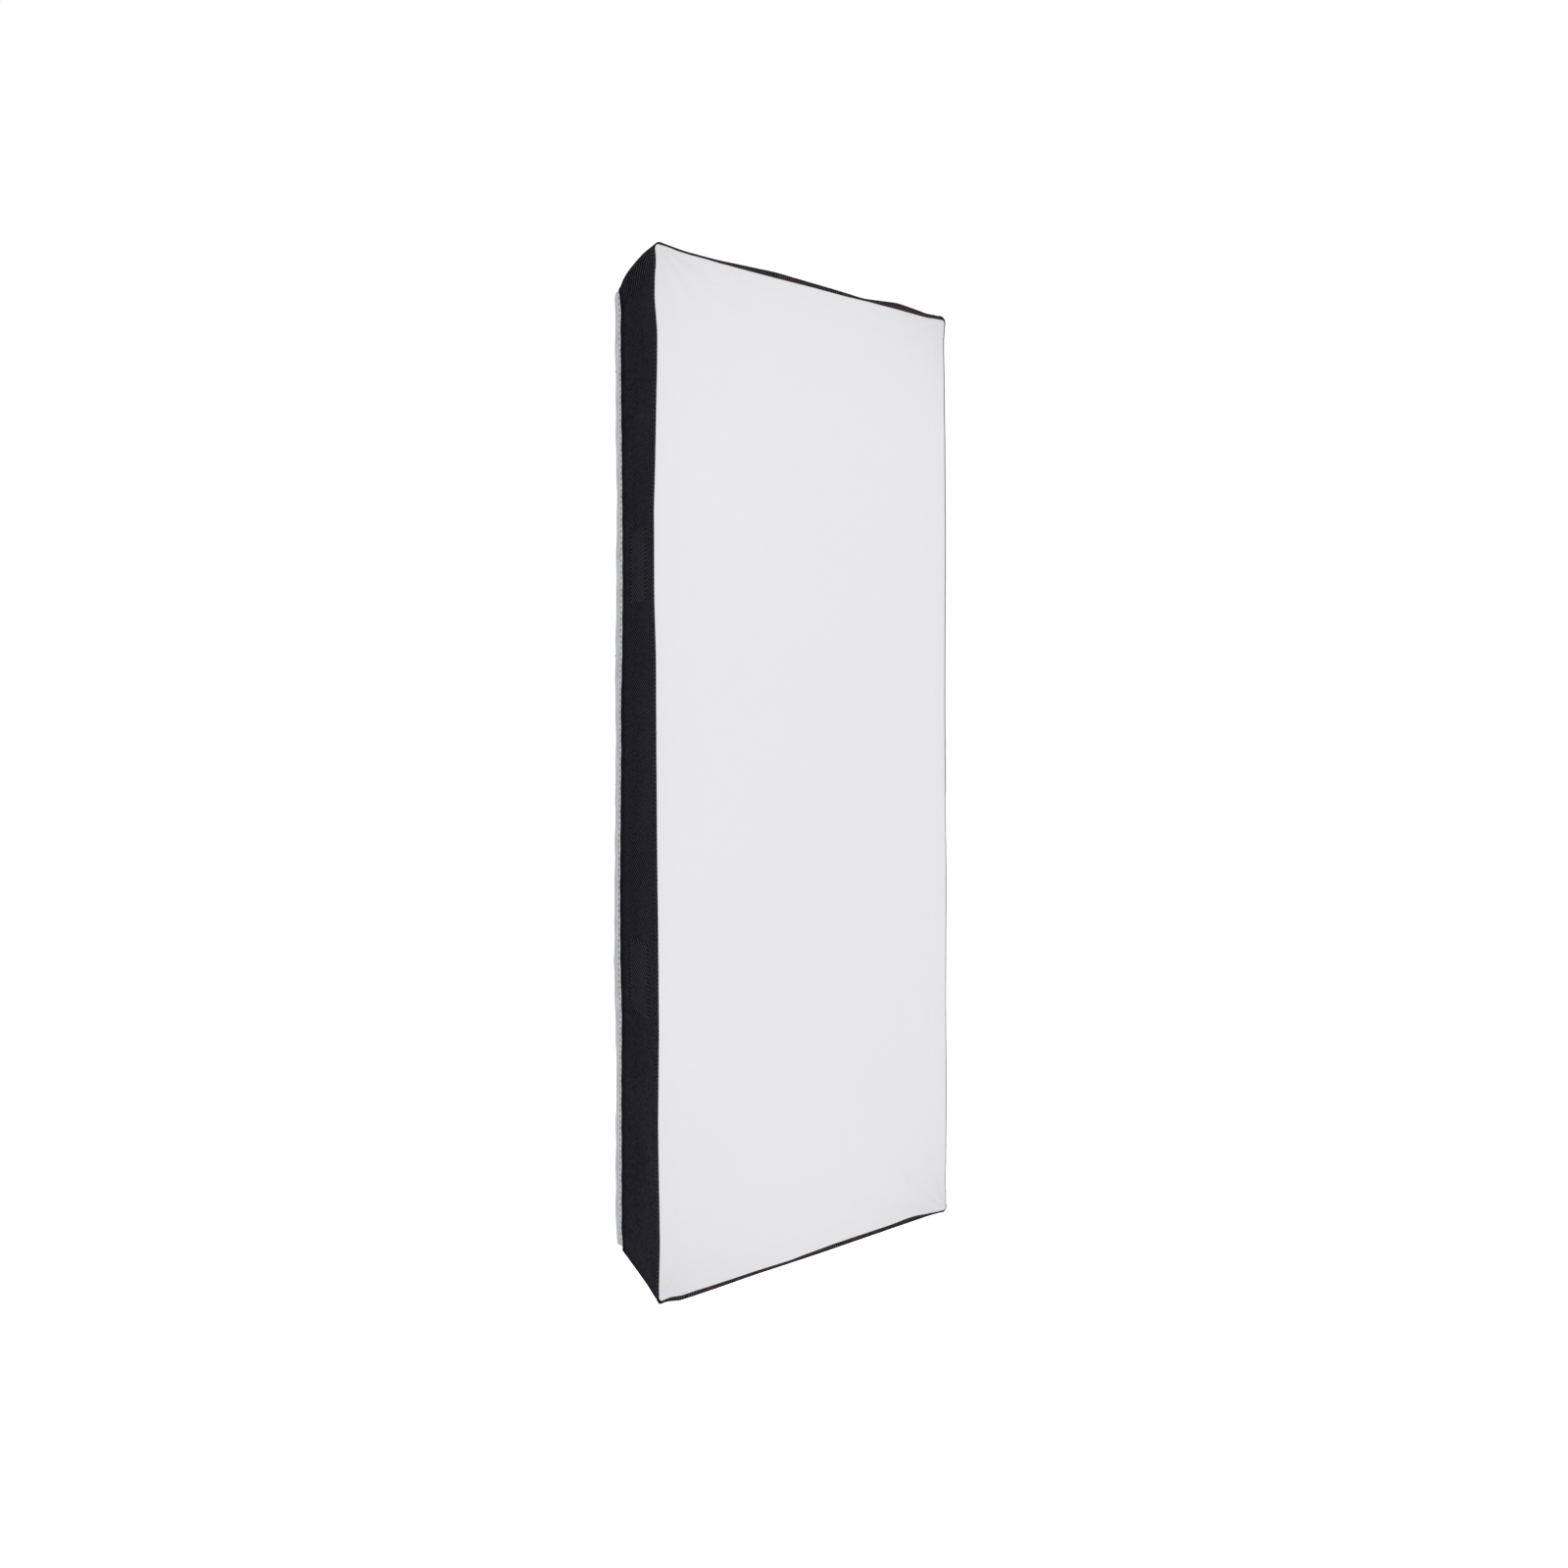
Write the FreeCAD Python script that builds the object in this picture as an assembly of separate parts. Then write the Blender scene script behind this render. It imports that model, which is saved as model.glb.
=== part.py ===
import FreeCAD, Part
import math
import os

# Shallow strip softbox on a four-arm frame, held by a tilting stand bracket. Millimetres.
# +X is right, +Y is back (the light leaves towards -Y), +Z is up.
# The origin is the centre of the stand socket's mouth, and the tilt axis is straight above it.

Vec = FreeCAD.Vector
X_AXIS = Vec(1, 0, 0)
Y_AXIS = Vec(0, 1, 0)
Z_AXIS = Vec(0, 0, 1)

# Fabric box
face_width = 300.0
face_height = 900.0
wall_depth = 99.0            # black wall with its front hem
corner_radius = 8.0
wall_cloth = 1.2
lining_cloth = 0.8
hem_width = 3.5              # black rim above and below the diffuser
side_hem_width = 1.2         # black rim beside the diffuser
hem_depth = 5.0
rear_tape_depth = 16.0       # part of the light-grey tape behind the black wall
rear_tape_lap = 4.0          # part sewn under the wall's back edge
rear_tape_cloth = 1.4
flange_width = 22.0          # cloth return behind the rim that carries the loop tape
flange_cloth = 1.0
closure_tape_width = 20.0
closure_tape_cloth = 1.2
mitre_reach = 60.0           # how far the corner mitres run inwards and outwards
seam_gap = 0.05              # play between cloth edges that are sewn together

# Front diffuser, closed with hook and loop tape
diffuser_cloth = 0.8
diffuser_edge_gap = 0.4
closure_gap = 0.3

# Inner baffle and its four hook and loop anchors
baffle_cloth = 1.0
baffle_corner_cut = 28.0
baffle_end_gap = 4.0
anchor_height = 183.0        # anchor centres above and below the middle
patch_size = (47.0, 67.0)    # depth, height
tab_size = (40.0, 60.0)
patch_cloth = 1.0
tab_cloth = 1.0

# Frame of four arms and four corner posts
post_radius = 3.0
post_inset = 14.0            # post axis from the outer faces of the walls
post_play = 0.1
post_seat_depth = 12.0       # length of post inside its elbow
arm_radius = 4.0
arm_wall = 1.0
arm_play = 0.1
arm_seat_depth = 24.0        # length of arm inside the elbow and the hub
arm_to_post = 8.0            # end of the arm from the post axis
elbow_wall = 2.3
elbow_skirt_gap = 0.2        # elbow's front face from the gusset
gusset_leg = 44.0
gusset_cloth = 1.5
eyelet_radius = 6.0
eyelet_thickness = 0.8
pocket_leg = 40.0
pocket_cloth = 1.5
pocket_depth = 26.0
pocket_wall = 2.4

# Hub
hub_width = 44.0
hub_height = 56.0
hub_depth = 24.0
hub_corner = 8.0
hub_socket_wall = 2.4
hub_socket_reach = 41.0      # mouth of an arm socket from the hub's centre
hub_cover_thickness = 3.0
frame_gap = 4.0              # back edge of the tape to the hub's front face
screw_radius = 2.0
screw_head_radius = 3.6
screw_head_height = 2.2
screw_hex_flats = 3.0
screw_play = 0.2             # radial play where a screw passes through
screw_length = 12.0
screw_inset = 7.0            # screw axis from the hub's edges

# Tilt joint
tongue_length = 50.0         # tilt axis to the hub's back face
tongue_thickness = 10.0
tongue_neck = 8.5            # half height of the neck
tongue_root = 16.0           # half height where it meets its foot
tongue_eye = 12.0
tongue_foot_size = (30.0, 40.0)
tongue_foot_depth = 4.0
tongue_foot_corner = 3.5
foot_screw_place = (11.0, 14.0)
bolt_radius = 4.0
running_play = 0.05
face_play = 0.05
washer_radius = 11.0
washer_thickness = 1.0
outer_washer_thickness = 1.5
bolt_head_flats = 13.0
bolt_head_height = 5.3

# Stand bracket
socket_bore_radius = 8.1     # takes a 16 mm stand spigot
socket_bore_depth = 50.0
socket_radius = 13.0
socket_height = 60.0
collar_radius = 14.5
collar_height = 6.0
tilt_height = 92.0           # tilt axis above the socket's mouth
clevis_clearance = 24.0      # tilt axis to the floor of the clevis
ear_thickness = 6.0
ear_radius = 13.0

# Tilt lever
lever_hub_radius = 10.0
lever_hub_length = 17.0
lever_length = 50.0
lever_tip_radius = 5.0
lever_root_half = 7.0
lever_thickness = 8.0
lever_setback = 7.0          # lever arm from the hub's inner face
lever_bolt_depth = 13.0
lever_angle = -45.0          # from +Y towards -Z
lever_screw_radius = 4.0
lever_screw_height = 2.0
lever_hex_flats = 4.0

# Stand lock
lock_height = 25.0
lock_screw_radius = 4.0
lock_boss_radius = 8.0
lock_boss_end = 21.0         # from the bore's axis
pad_radius = 3.9
pad_thickness = 2.5
pad_setback = 0.2            # pad face behind the bore's wall
lock_travel = 3.75           # three turns of an M8 thread of 1.25 mm pitch
knob_clearance = 0.75        # knob to boss at the end of its travel
knob_radius = 13.0
knob_thickness = 16.0
knob_lobes = 6
knob_scallop_radius = 5.0
knob_scallop_ring = 16.0
knob_edge = 1.5
knob_seat_depth = 12.0

# Places that follow from the sizes above
hub_back = -tongue_length
hub_front = hub_back - hub_depth
arm_plane = (hub_back + hub_front) / 2
tape_back = hub_front - frame_gap
wall_back = tape_back - rear_tape_depth
wall_front = wall_back - wall_depth
hem_back = wall_front + hem_depth
lining_inset = wall_cloth + lining_cloth
tape_inset = wall_cloth + rear_tape_cloth
post_x = face_width / 2 - post_inset
post_z = face_height / 2 - post_inset
clevis_half_gap = tongue_thickness / 2 + washer_thickness + face_play
ear_outside = clevis_half_gap + ear_thickness
baffle_plane = wall_back - wall_depth / 2
SIDES = ("left", "right", "top", "bottom")
CORNERS = {
    "upper_left": (-1, 1),
    "upper_right": (1, 1),
    "lower_left": (-1, -1),
    "lower_right": (1, -1),
}


def block(low, high):
    """A box from its lowest to its highest corner."""
    return Part.makeBox(high[0] - low[0], high[1] - low[1], high[2] - low[2], Vec(*low))


def rod(radius, start, end):
    """A cylinder between two points."""
    return Part.makeCylinder(radius, (end - start).Length, start, end - start)


def fuse(first, *others):
    """One solid out of several that touch or overlap."""
    whole = first.fuse(list(others))
    return whole.removeSplitter()


def prism_xz(points, y_low, y_high):
    """A polygon given in X and Z, carried from one Y to another."""
    corners = [Vec(x, y_low, z) for x, z in points]
    face = Part.Face(Part.makePolygon(corners + corners[:1]))
    return face.extrude(Vec(0, y_high - y_low, 0))


def prism_yz(points, x_low, x_high):
    """A polygon given in Y and Z, carried from one X to another."""
    corners = [Vec(x_low, y, z) for y, z in points]
    face = Part.Face(Part.makePolygon(corners + corners[:1]))
    return face.extrude(Vec(x_high - x_low, 0, 0))


def edges_along(solid, axis):
    """The straight edges of a solid that run along an axis."""
    found = []
    for edge in solid.Edges:
        start, end = edge.Vertexes[0].Point, edge.Vertexes[-1].Point
        if (end - start).cross(axis).Length < 1e-6 and (end - start).Length > 1e-6:
            found.append(edge)
    return found


def rounded_slab(inset_x, inset_z, y_low, y_high):
    """The fabric box's rounded outline, drawn in by its own inset each way, as a slab."""
    half_x, half_z = face_width / 2 - inset_x, face_height / 2 - inset_z
    slab = block((-half_x, y_low, tilt_height - half_z), (half_x, y_high, tilt_height + half_z))
    radius = corner_radius - max(inset_x, inset_z)
    if radius > 0.2:
        slab = slab.makeFillet(radius, edges_along(slab, Y_AXIS))
    return slab


def box_outline(inset, y_low, y_high):
    """The outline drawn in evenly."""
    return rounded_slab(inset, inset, y_low, y_high)


def rim_outline(inset, y_low, y_high):
    """The outline of the opening inside the black rim, drawn in further by an inset."""
    return rounded_slab(side_hem_width + inset, hem_width + inset, y_low, y_high)


def mitre_wedge(side, y_low, y_high):
    """The share of the box's rim that belongs to one side, cut at 45 degrees in the corners."""
    half_x, half_z = face_width / 2, face_height / 2
    if side in ("left", "right"):
        sign = -1 if side == "left" else 1
        outline = [
            (sign * (half_x + mitre_reach), half_z + mitre_reach),
            (sign * (half_x + mitre_reach), -half_z - mitre_reach),
            (sign * (half_x - mitre_reach), -half_z + mitre_reach),
            (sign * (half_x - mitre_reach), half_z - mitre_reach),
        ]
    else:
        sign = 1 if side == "top" else -1
        outline = [
            (-half_x - mitre_reach, sign * (half_z + mitre_reach)),
            (half_x + mitre_reach, sign * (half_z + mitre_reach)),
            (half_x - mitre_reach, sign * (half_z - mitre_reach)),
            (-half_x + mitre_reach, sign * (half_z - mitre_reach)),
        ]
    return prism_xz([(x, z + tilt_height) for x, z in outline], y_low, y_high)


def side_strip(side, inset, thickness, y_low, y_high):
    """One side of a band that follows the box's outline, mitred in the corners."""
    ring = box_outline(inset, y_low, y_high).cut(box_outline(inset + thickness, y_low, y_high))
    return ring.common(mitre_wedge(side, y_low, y_high))


def rim_ring(inset, width, y_low, y_high):
    """A flat band that follows the inside of the black rim."""
    return rim_outline(inset, y_low, y_high).cut(rim_outline(inset + width, y_low, y_high))


def four_sides(ring, y_low, y_high):
    """A band cut at its mitres into a group of four solids."""
    return Part.makeCompound([ring.common(mitre_wedge(side, y_low, y_high)) for side in SIDES])


def corner_web(corner, inset, leg, y_low, y_high):
    """A three-cornered piece of cloth that fills one corner of the box."""
    across, up = CORNERS[corner]
    tip_x, tip_z = face_width / 2 - inset, face_height / 2 - inset
    outline = [
        (across * tip_x, tilt_height + up * tip_z),
        (across * (tip_x - leg), tilt_height + up * tip_z),
        (across * tip_x, tilt_height + up * (tip_z - leg)),
    ]
    return prism_xz(outline, y_low, y_high).common(box_outline(inset, y_low, y_high))


def post_point(corner, y):
    """The point of a corner post's axis at a given Y."""
    across, up = CORNERS[corner]
    return Vec(across * post_x, y, tilt_height + up * post_z)


def arm_direction(corner):
    """Unit vector from the hub's centre to a corner post, in the plane of the arms."""
    reach = post_point(corner, arm_plane) - Vec(0, arm_plane, tilt_height)
    return reach.normalize()


def arm_point(corner, distance):
    """The point of an arm's axis at a distance from the hub's centre."""
    return Vec(0, arm_plane, tilt_height) + arm_direction(corner) * distance


def arm_ends():
    """Distances from the hub's centre to the arm's two ends."""
    whole = math.hypot(post_x, post_z)
    return hub_socket_reach - arm_seat_depth, whole - arm_to_post


# Fabric


def make_wall(side):
    return side_strip(side, 0, wall_cloth, hem_back, wall_back)


def make_lining(side):
    return side_strip(side, wall_cloth, lining_cloth, hem_back, wall_back - rear_tape_lap)


def make_rear_tape(side):
    return side_strip(side, wall_cloth, rear_tape_cloth, wall_back - rear_tape_lap, tape_back)


def make_front_hem():
    ring = box_outline(0, wall_front, hem_back).cut(rim_outline(0, wall_front, hem_back))
    return four_sides(ring, wall_front, hem_back)


def make_front_flange(side):
    front = hem_back - flange_cloth
    return rim_ring(0, flange_width, front, hem_back).common(mitre_wedge(side, front, hem_back))


def loop_tape_front():
    return hem_back - flange_cloth - closure_tape_cloth


def hook_tape_front():
    return loop_tape_front() - closure_gap - closure_tape_cloth


def make_loop_tape():
    front, back = loop_tape_front(), hem_back - flange_cloth
    return four_sides(rim_ring(seam_gap, closure_tape_width, front, back), front, back)


def make_hook_tape():
    front = hook_tape_front()
    back = front + closure_tape_cloth
    return four_sides(rim_ring(diffuser_edge_gap, closure_tape_width, front, back), front, back)


def make_diffuser():
    return rim_outline(diffuser_edge_gap, hook_tape_front() - diffuser_cloth, hook_tape_front())


def baffle_half_width():
    return face_width / 2 - lining_inset - patch_cloth - tab_cloth


def make_baffle():
    """A flat sheet whose corners are cut away round the posts."""
    half_x = baffle_half_width()
    half_z = face_height / 2 - lining_inset - baffle_end_gap
    cut = baffle_corner_cut
    outline = [
        (-half_x, half_z - cut), (-half_x + cut, half_z), (half_x - cut, half_z),
        (half_x, half_z - cut), (half_x, cut - half_z), (half_x - cut, -half_z),
        (cut - half_x, -half_z), (-half_x, cut - half_z),
    ]
    front = baffle_plane - baffle_cloth / 2
    return prism_xz([(x, z + tilt_height) for x, z in outline], front, front + baffle_cloth)


def anchor_plate(corner, size, outside, thickness):
    """A plate on the inside of a long wall, at one of the four baffle anchors."""
    across, up = CORNERS[corner]
    near, far = sorted((across * (outside - thickness), across * outside))
    middle = tilt_height + up * anchor_height
    return block(
        (near, baffle_plane - size[0] / 2, middle - size[1] / 2),
        (far, baffle_plane + size[0] / 2, middle + size[1] / 2),
    )


def make_patches():
    outside = face_width / 2 - lining_inset
    plates = [anchor_plate(corner, patch_size, outside, patch_cloth) for corner in CORNERS]
    return Part.makeCompound(plates)


def make_baffle_tab(corner):
    return anchor_plate(corner, tab_size, baffle_half_width() + tab_cloth, tab_cloth)


# Frame


def make_post(corner):
    tip = hem_back + pocket_cloth + post_play
    end = elbow_front() + post_seat_depth
    return rod(post_radius, post_point(corner, tip), post_point(corner, end))


def make_pocket(corner):
    """A cloth web across the front corner with a cup that catches the post's tip."""
    edge = lining_inset + seam_gap
    web = corner_web(corner, edge, pocket_leg, hem_back, hem_back + pocket_cloth)
    cup_radius = post_radius + post_play + pocket_wall
    cup_back = hem_back + pocket_depth
    cup = rod(cup_radius, post_point(corner, hem_back), post_point(corner, cup_back))
    floor = hem_back + pocket_cloth
    hole = rod(post_radius + post_play, post_point(corner, floor), post_point(corner, cup_back + 1))
    return fuse(web, cup).cut(hole)


def eyelet_hole(corner):
    """The hole that a post passes through at the rear gusset."""
    start = tape_back - gusset_cloth - eyelet_thickness - 1
    return rod(post_radius + 2 * post_play, post_point(corner, start), post_point(corner, tape_back + 1))


def make_gusset(corner):
    """A cloth web across the rear corner that the post passes through."""
    front = tape_back - gusset_cloth
    web = corner_web(corner, tape_inset + seam_gap, gusset_leg, front, tape_back)
    return web.cut(eyelet_hole(corner))


def make_eyelets():
    rings = []
    back = tape_back - gusset_cloth
    for corner in CORNERS:
        ring = rod(eyelet_radius, post_point(corner, back - eyelet_thickness), post_point(corner, back))
        rings.append(ring.cut(eyelet_hole(corner)))
    return Part.makeCompound(rings)


def elbow_front():
    return tape_back + elbow_skirt_gap


def make_elbow(corner):
    """A moulded corner: one socket for the post and one for the arm."""
    whole = math.hypot(post_x, post_z)
    arm_end = arm_ends()[1]
    mouth = arm_end - arm_seat_depth
    arm_shell = rod(arm_radius + elbow_wall, arm_point(corner, mouth), arm_point(corner, whole))
    front = post_point(corner, elbow_front())
    post_shell = rod(post_radius + elbow_wall, front, post_point(corner, arm_plane))
    knuckle = Part.makeSphere(arm_radius + elbow_wall, post_point(corner, arm_plane))
    arm_hole = rod(arm_radius + arm_play, arm_point(corner, mouth - 1), arm_point(corner, arm_end))
    post_end = post_point(corner, elbow_front() + post_seat_depth)
    post_hole = rod(post_radius + post_play, front - Y_AXIS, post_end)
    return fuse(arm_shell, post_shell, knuckle).cut(arm_hole).cut(post_hole)


def make_arm(corner):
    start, end = arm_ends()
    tube = rod(arm_radius, arm_point(corner, start), arm_point(corner, end))
    return tube.cut(rod(arm_radius - arm_wall, arm_point(corner, start), arm_point(corner, end)))


def hub_screw_places():
    across, up = hub_width / 2 - screw_inset, hub_height / 2 - screw_inset
    return [(sx * across, tilt_height + sz * up) for sx, sz in CORNERS.values()]


def make_hub():
    """A block with four arm sockets in an X."""
    core = block(
        (-hub_width / 2, hub_front, tilt_height - hub_height / 2),
        (hub_width / 2, hub_back, tilt_height + hub_height / 2),
    )
    core = core.makeFillet(hub_corner, edges_along(core, Y_AXIS))
    shells = []
    for corner in CORNERS:
        shell_radius = arm_radius + arm_play + hub_socket_wall
        shells.append(rod(shell_radius, arm_point(corner, 0), arm_point(corner, hub_socket_reach)))
    hub = fuse(core, *shells)
    for corner in CORNERS:
        start = arm_ends()[0]
        hub = hub.cut(
            rod(arm_radius + arm_play, arm_point(corner, start), arm_point(corner, hub_socket_reach + 1))
        )
    for x, z in hub_screw_places():
        hub = hub.cut(
            rod(screw_radius, Vec(x, hub_front - 1, z), Vec(x, hub_front + screw_bite(), z))
        )
    for x, z in foot_screw_places():
        hub = hub.cut(rod(screw_radius, Vec(x, hub_back + 1, z), Vec(x, hub_back - screw_bite(), z)))
    return hub


def screw_bite():
    """Length of a screw's shank inside the hub."""
    return screw_length - hub_cover_thickness


def make_hub_cover():
    front = hub_front - hub_cover_thickness
    plate = block(
        (-hub_width / 2, front, tilt_height - hub_height / 2),
        (hub_width / 2, hub_front, tilt_height + hub_height / 2),
    )
    plate = plate.makeFillet(hub_corner, edges_along(plate, Y_AXIS))
    for x, z in hub_screw_places():
        hole = rod(screw_radius + screw_play, Vec(x, front - 1, z), Vec(x, hub_front + 1, z))
        plate = plate.cut(hole)
        recess_end = Vec(x, front + screw_head_height, z)
        plate = plate.cut(rod(screw_head_radius + screw_play, Vec(x, front, z), recess_end))
    return plate


def make_screw(tip, direction, shank):
    """A cap screw from its tip to its head, with a hexagon recess."""
    under_head = tip - direction * shank
    top = under_head - direction * screw_head_height
    solid = fuse(rod(screw_radius, tip, under_head), rod(screw_head_radius, under_head, top))
    return solid.cut(hexagon(screw_hex_flats, top, direction, screw_head_height / 2))


def hexagon(flats, start, direction, length):
    """A hexagonal prism given by its width across flats."""
    corner_reach = flats / math.sqrt(3)
    side = direction.cross(X_AXIS if abs(direction.x) < 0.5 else Z_AXIS).normalize()
    other = direction.cross(side)
    corners = []
    for step in range(7):
        angle = math.radians(60 * step)
        across = side * (corner_reach * math.cos(angle))
        corners.append(start + across + other * (corner_reach * math.sin(angle)))
    return Part.Face(Part.makePolygon(corners)).extrude(direction * length)


def make_hub_screws():
    screws = []
    for x, z in hub_screw_places():
        shank = hub_cover_thickness - screw_head_height + screw_bite()
        screws.append(make_screw(Vec(x, hub_front + screw_bite(), z), Y_AXIS, shank))
    return Part.makeCompound(screws)


# Tilt joint


def foot_screw_places():
    across, up = foot_screw_place
    return [(sx * across, tilt_height + sz * up) for sx, sz in CORNERS.values()]


def make_tongue():
    """A flat tongue on a foot, with an eye for the tilt bolt."""
    half = tongue_thickness / 2
    foot_back = hub_back + tongue_foot_depth
    flare = (foot_back - tongue_eye) / 2
    profile = [
        (0, tongue_neck), (flare, tongue_neck), (foot_back, tongue_root),
        (foot_back, -tongue_root), (flare, -tongue_neck), (0, -tongue_neck),
    ]
    web = prism_yz([(y, z + tilt_height) for y, z in profile], -half, half)
    eye = rod(tongue_eye, Vec(-half, 0, tilt_height), Vec(half, 0, tilt_height))
    foot = block(
        (-tongue_foot_size[0] / 2, hub_back, tilt_height - tongue_foot_size[1] / 2),
        (tongue_foot_size[0] / 2, foot_back, tilt_height + tongue_foot_size[1] / 2),
    )
    foot = foot.makeFillet(tongue_foot_corner, edges_along(foot, Y_AXIS))
    tongue = fuse(web, eye, foot)
    for x, z in foot_screw_places():
        hole = rod(screw_radius + screw_play, Vec(x, hub_back - 1, z), Vec(x, foot_back + 1, z))
        tongue = tongue.cut(hole)
    bore = rod(
        bolt_radius + running_play, Vec(-half - 1, 0, tilt_height), Vec(half + 1, 0, tilt_height)
    )
    return tongue.cut(bore)


def make_foot_screws():
    screws = []
    for x, z in foot_screw_places():
        shank = tongue_foot_depth + screw_bite()
        screws.append(make_screw(Vec(x, hub_back - screw_bite(), z), Y_AXIS * -1, shank))
    return Part.makeCompound(screws)


def washer(x_low, thickness):
    centre = Vec(x_low, 0, tilt_height)
    disc = rod(washer_radius, centre, centre + X_AXIS * thickness)
    return disc.cut(rod(bolt_radius + running_play, centre - X_AXIS, centre + X_AXIS * (thickness + 1)))


def make_washers():
    """Two friction washers beside the tongue and one under the lever."""
    return Part.makeCompound([
        washer(-clevis_half_gap, washer_thickness),
        washer(clevis_half_gap - washer_thickness, washer_thickness),
        washer(ear_outside, outer_washer_thickness),
    ])


def lever_inside():
    return ear_outside + outer_washer_thickness + face_play


def make_bolt():
    """A hexagon bolt that carries the tongue and the lever."""
    head_start = Vec(-ear_outside - bolt_head_height, 0, tilt_height)
    head = hexagon(bolt_head_flats, head_start, X_AXIS, bolt_head_height)
    shank_end = Vec(lever_inside() + lever_bolt_depth, 0, tilt_height)
    return fuse(head, rod(bolt_radius, head_start + X_AXIS, shank_end))


def make_lever():
    """A tapered clamping lever with a round hub on the bolt."""
    inside = lever_inside()
    outside = inside + lever_hub_length
    centre = Vec(inside, 0, tilt_height)
    hub = rod(lever_hub_radius, centre, Vec(outside, 0, tilt_height))
    arm_low = inside + lever_setback
    arm_high = arm_low + lever_thickness
    tip = lever_length - lever_tip_radius
    profile = [
        (0, lever_root_half), (tip, lever_tip_radius), (tip, -lever_tip_radius), (0, -lever_root_half),
    ]
    arm = prism_yz([(y, z + tilt_height) for y, z in profile], arm_low, arm_high)
    end = rod(lever_tip_radius, Vec(arm_low, tip, tilt_height), Vec(arm_high, tip, tilt_height))
    lever = fuse(hub, arm, end)
    lever.rotate(Vec(0, 0, tilt_height), X_AXIS, lever_angle)
    hole_end = inside + lever_bolt_depth + face_play
    lever = lever.cut(
        rod(bolt_radius + running_play, centre - X_AXIS, Vec(hole_end, 0, tilt_height))
    )
    recess_start = Vec(outside - lever_screw_height, 0, tilt_height)
    return lever.cut(rod(lever_screw_radius, recess_start, Vec(outside + 1, 0, tilt_height)))


def make_lever_screw():
    """The flush screw that holds the lever on its insert."""
    top = Vec(lever_inside() + lever_hub_length, 0, tilt_height)
    disc = rod(lever_screw_radius, top - X_AXIS * lever_screw_height, top)
    return disc.cut(hexagon(lever_hex_flats, top, X_AXIS * -1, lever_screw_height / 2))


# Stand bracket and lock


def make_stand_bracket():
    """A socket for the stand spigot under a clevis for the tongue."""
    body = rod(socket_radius, Vec(0, 0, 0), Vec(0, 0, socket_height))
    collar = rod(collar_radius, Vec(0, 0, 0), Vec(0, 0, collar_height))
    boss = rod(lock_boss_radius, Vec(0, 0, lock_height), Vec(0, lock_boss_end, lock_height))
    clevis_floor = tilt_height - clevis_clearance
    base = block(
        (-ear_outside, -ear_radius, socket_height - ear_thickness),
        (ear_outside, ear_radius, clevis_floor),
    )
    ears = []
    for x_low in (-ear_outside, clevis_half_gap):
        x_high = x_low + ear_thickness
        ears.append(block((x_low, -ear_radius, clevis_floor - 1), (x_high, ear_radius, tilt_height)))
        ears.append(rod(ear_radius, Vec(x_low, 0, tilt_height), Vec(x_high, 0, tilt_height)))
    bracket = fuse(body, collar, boss, base, *ears)
    bracket = bracket.cut(rod(socket_bore_radius, Vec(0, 0, -1), Vec(0, 0, socket_bore_depth)))
    lock_hole_end = Vec(0, lock_boss_end + 1, lock_height)
    bracket = bracket.cut(rod(lock_screw_radius + running_play, Vec(0, 0, lock_height), lock_hole_end))
    bolt_hole = rod(
        bolt_radius + running_play,
        Vec(-ear_outside - 1, 0, tilt_height),
        Vec(ear_outside + 1, 0, tilt_height),
    )
    return bracket.cut(bolt_hole)


def pad_face():
    return socket_bore_radius + pad_setback


def make_lock_pad():
    """A round pad that the lock screw pushes against the spigot."""
    start = Vec(0, pad_face(), lock_height)
    return rod(pad_radius, start, start + Y_AXIS * pad_thickness)


def knob_front():
    return lock_boss_end + lock_travel + knob_clearance


def make_lock_screw():
    start = Vec(0, pad_face() + pad_thickness, lock_height)
    return rod(lock_screw_radius, start, Vec(0, knob_front() + knob_seat_depth, lock_height))


def make_lock_knob():
    """A lobed hand knob."""
    start = Vec(0, knob_front(), lock_height)
    end = start + Y_AXIS * knob_thickness
    knob = rod(knob_radius, start, end)
    rims = [edge for edge in knob.Edges if edge.Curve.TypeId == "Part::GeomCircle"]
    knob = knob.makeFillet(knob_edge, rims)
    for lobe in range(knob_lobes):
        angle = 2 * math.pi * (lobe + 0.5) / knob_lobes
        place = Vec(knob_scallop_ring * math.cos(angle), 0, knob_scallop_ring * math.sin(angle))
        knob = knob.cut(rod(knob_scallop_radius, start + place - Y_AXIS, end + place + Y_AXIS))
    seat = Vec(0, knob_front() + knob_seat_depth, lock_height)
    return knob.cut(rod(lock_screw_radius, start - Y_AXIS, seat))


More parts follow.
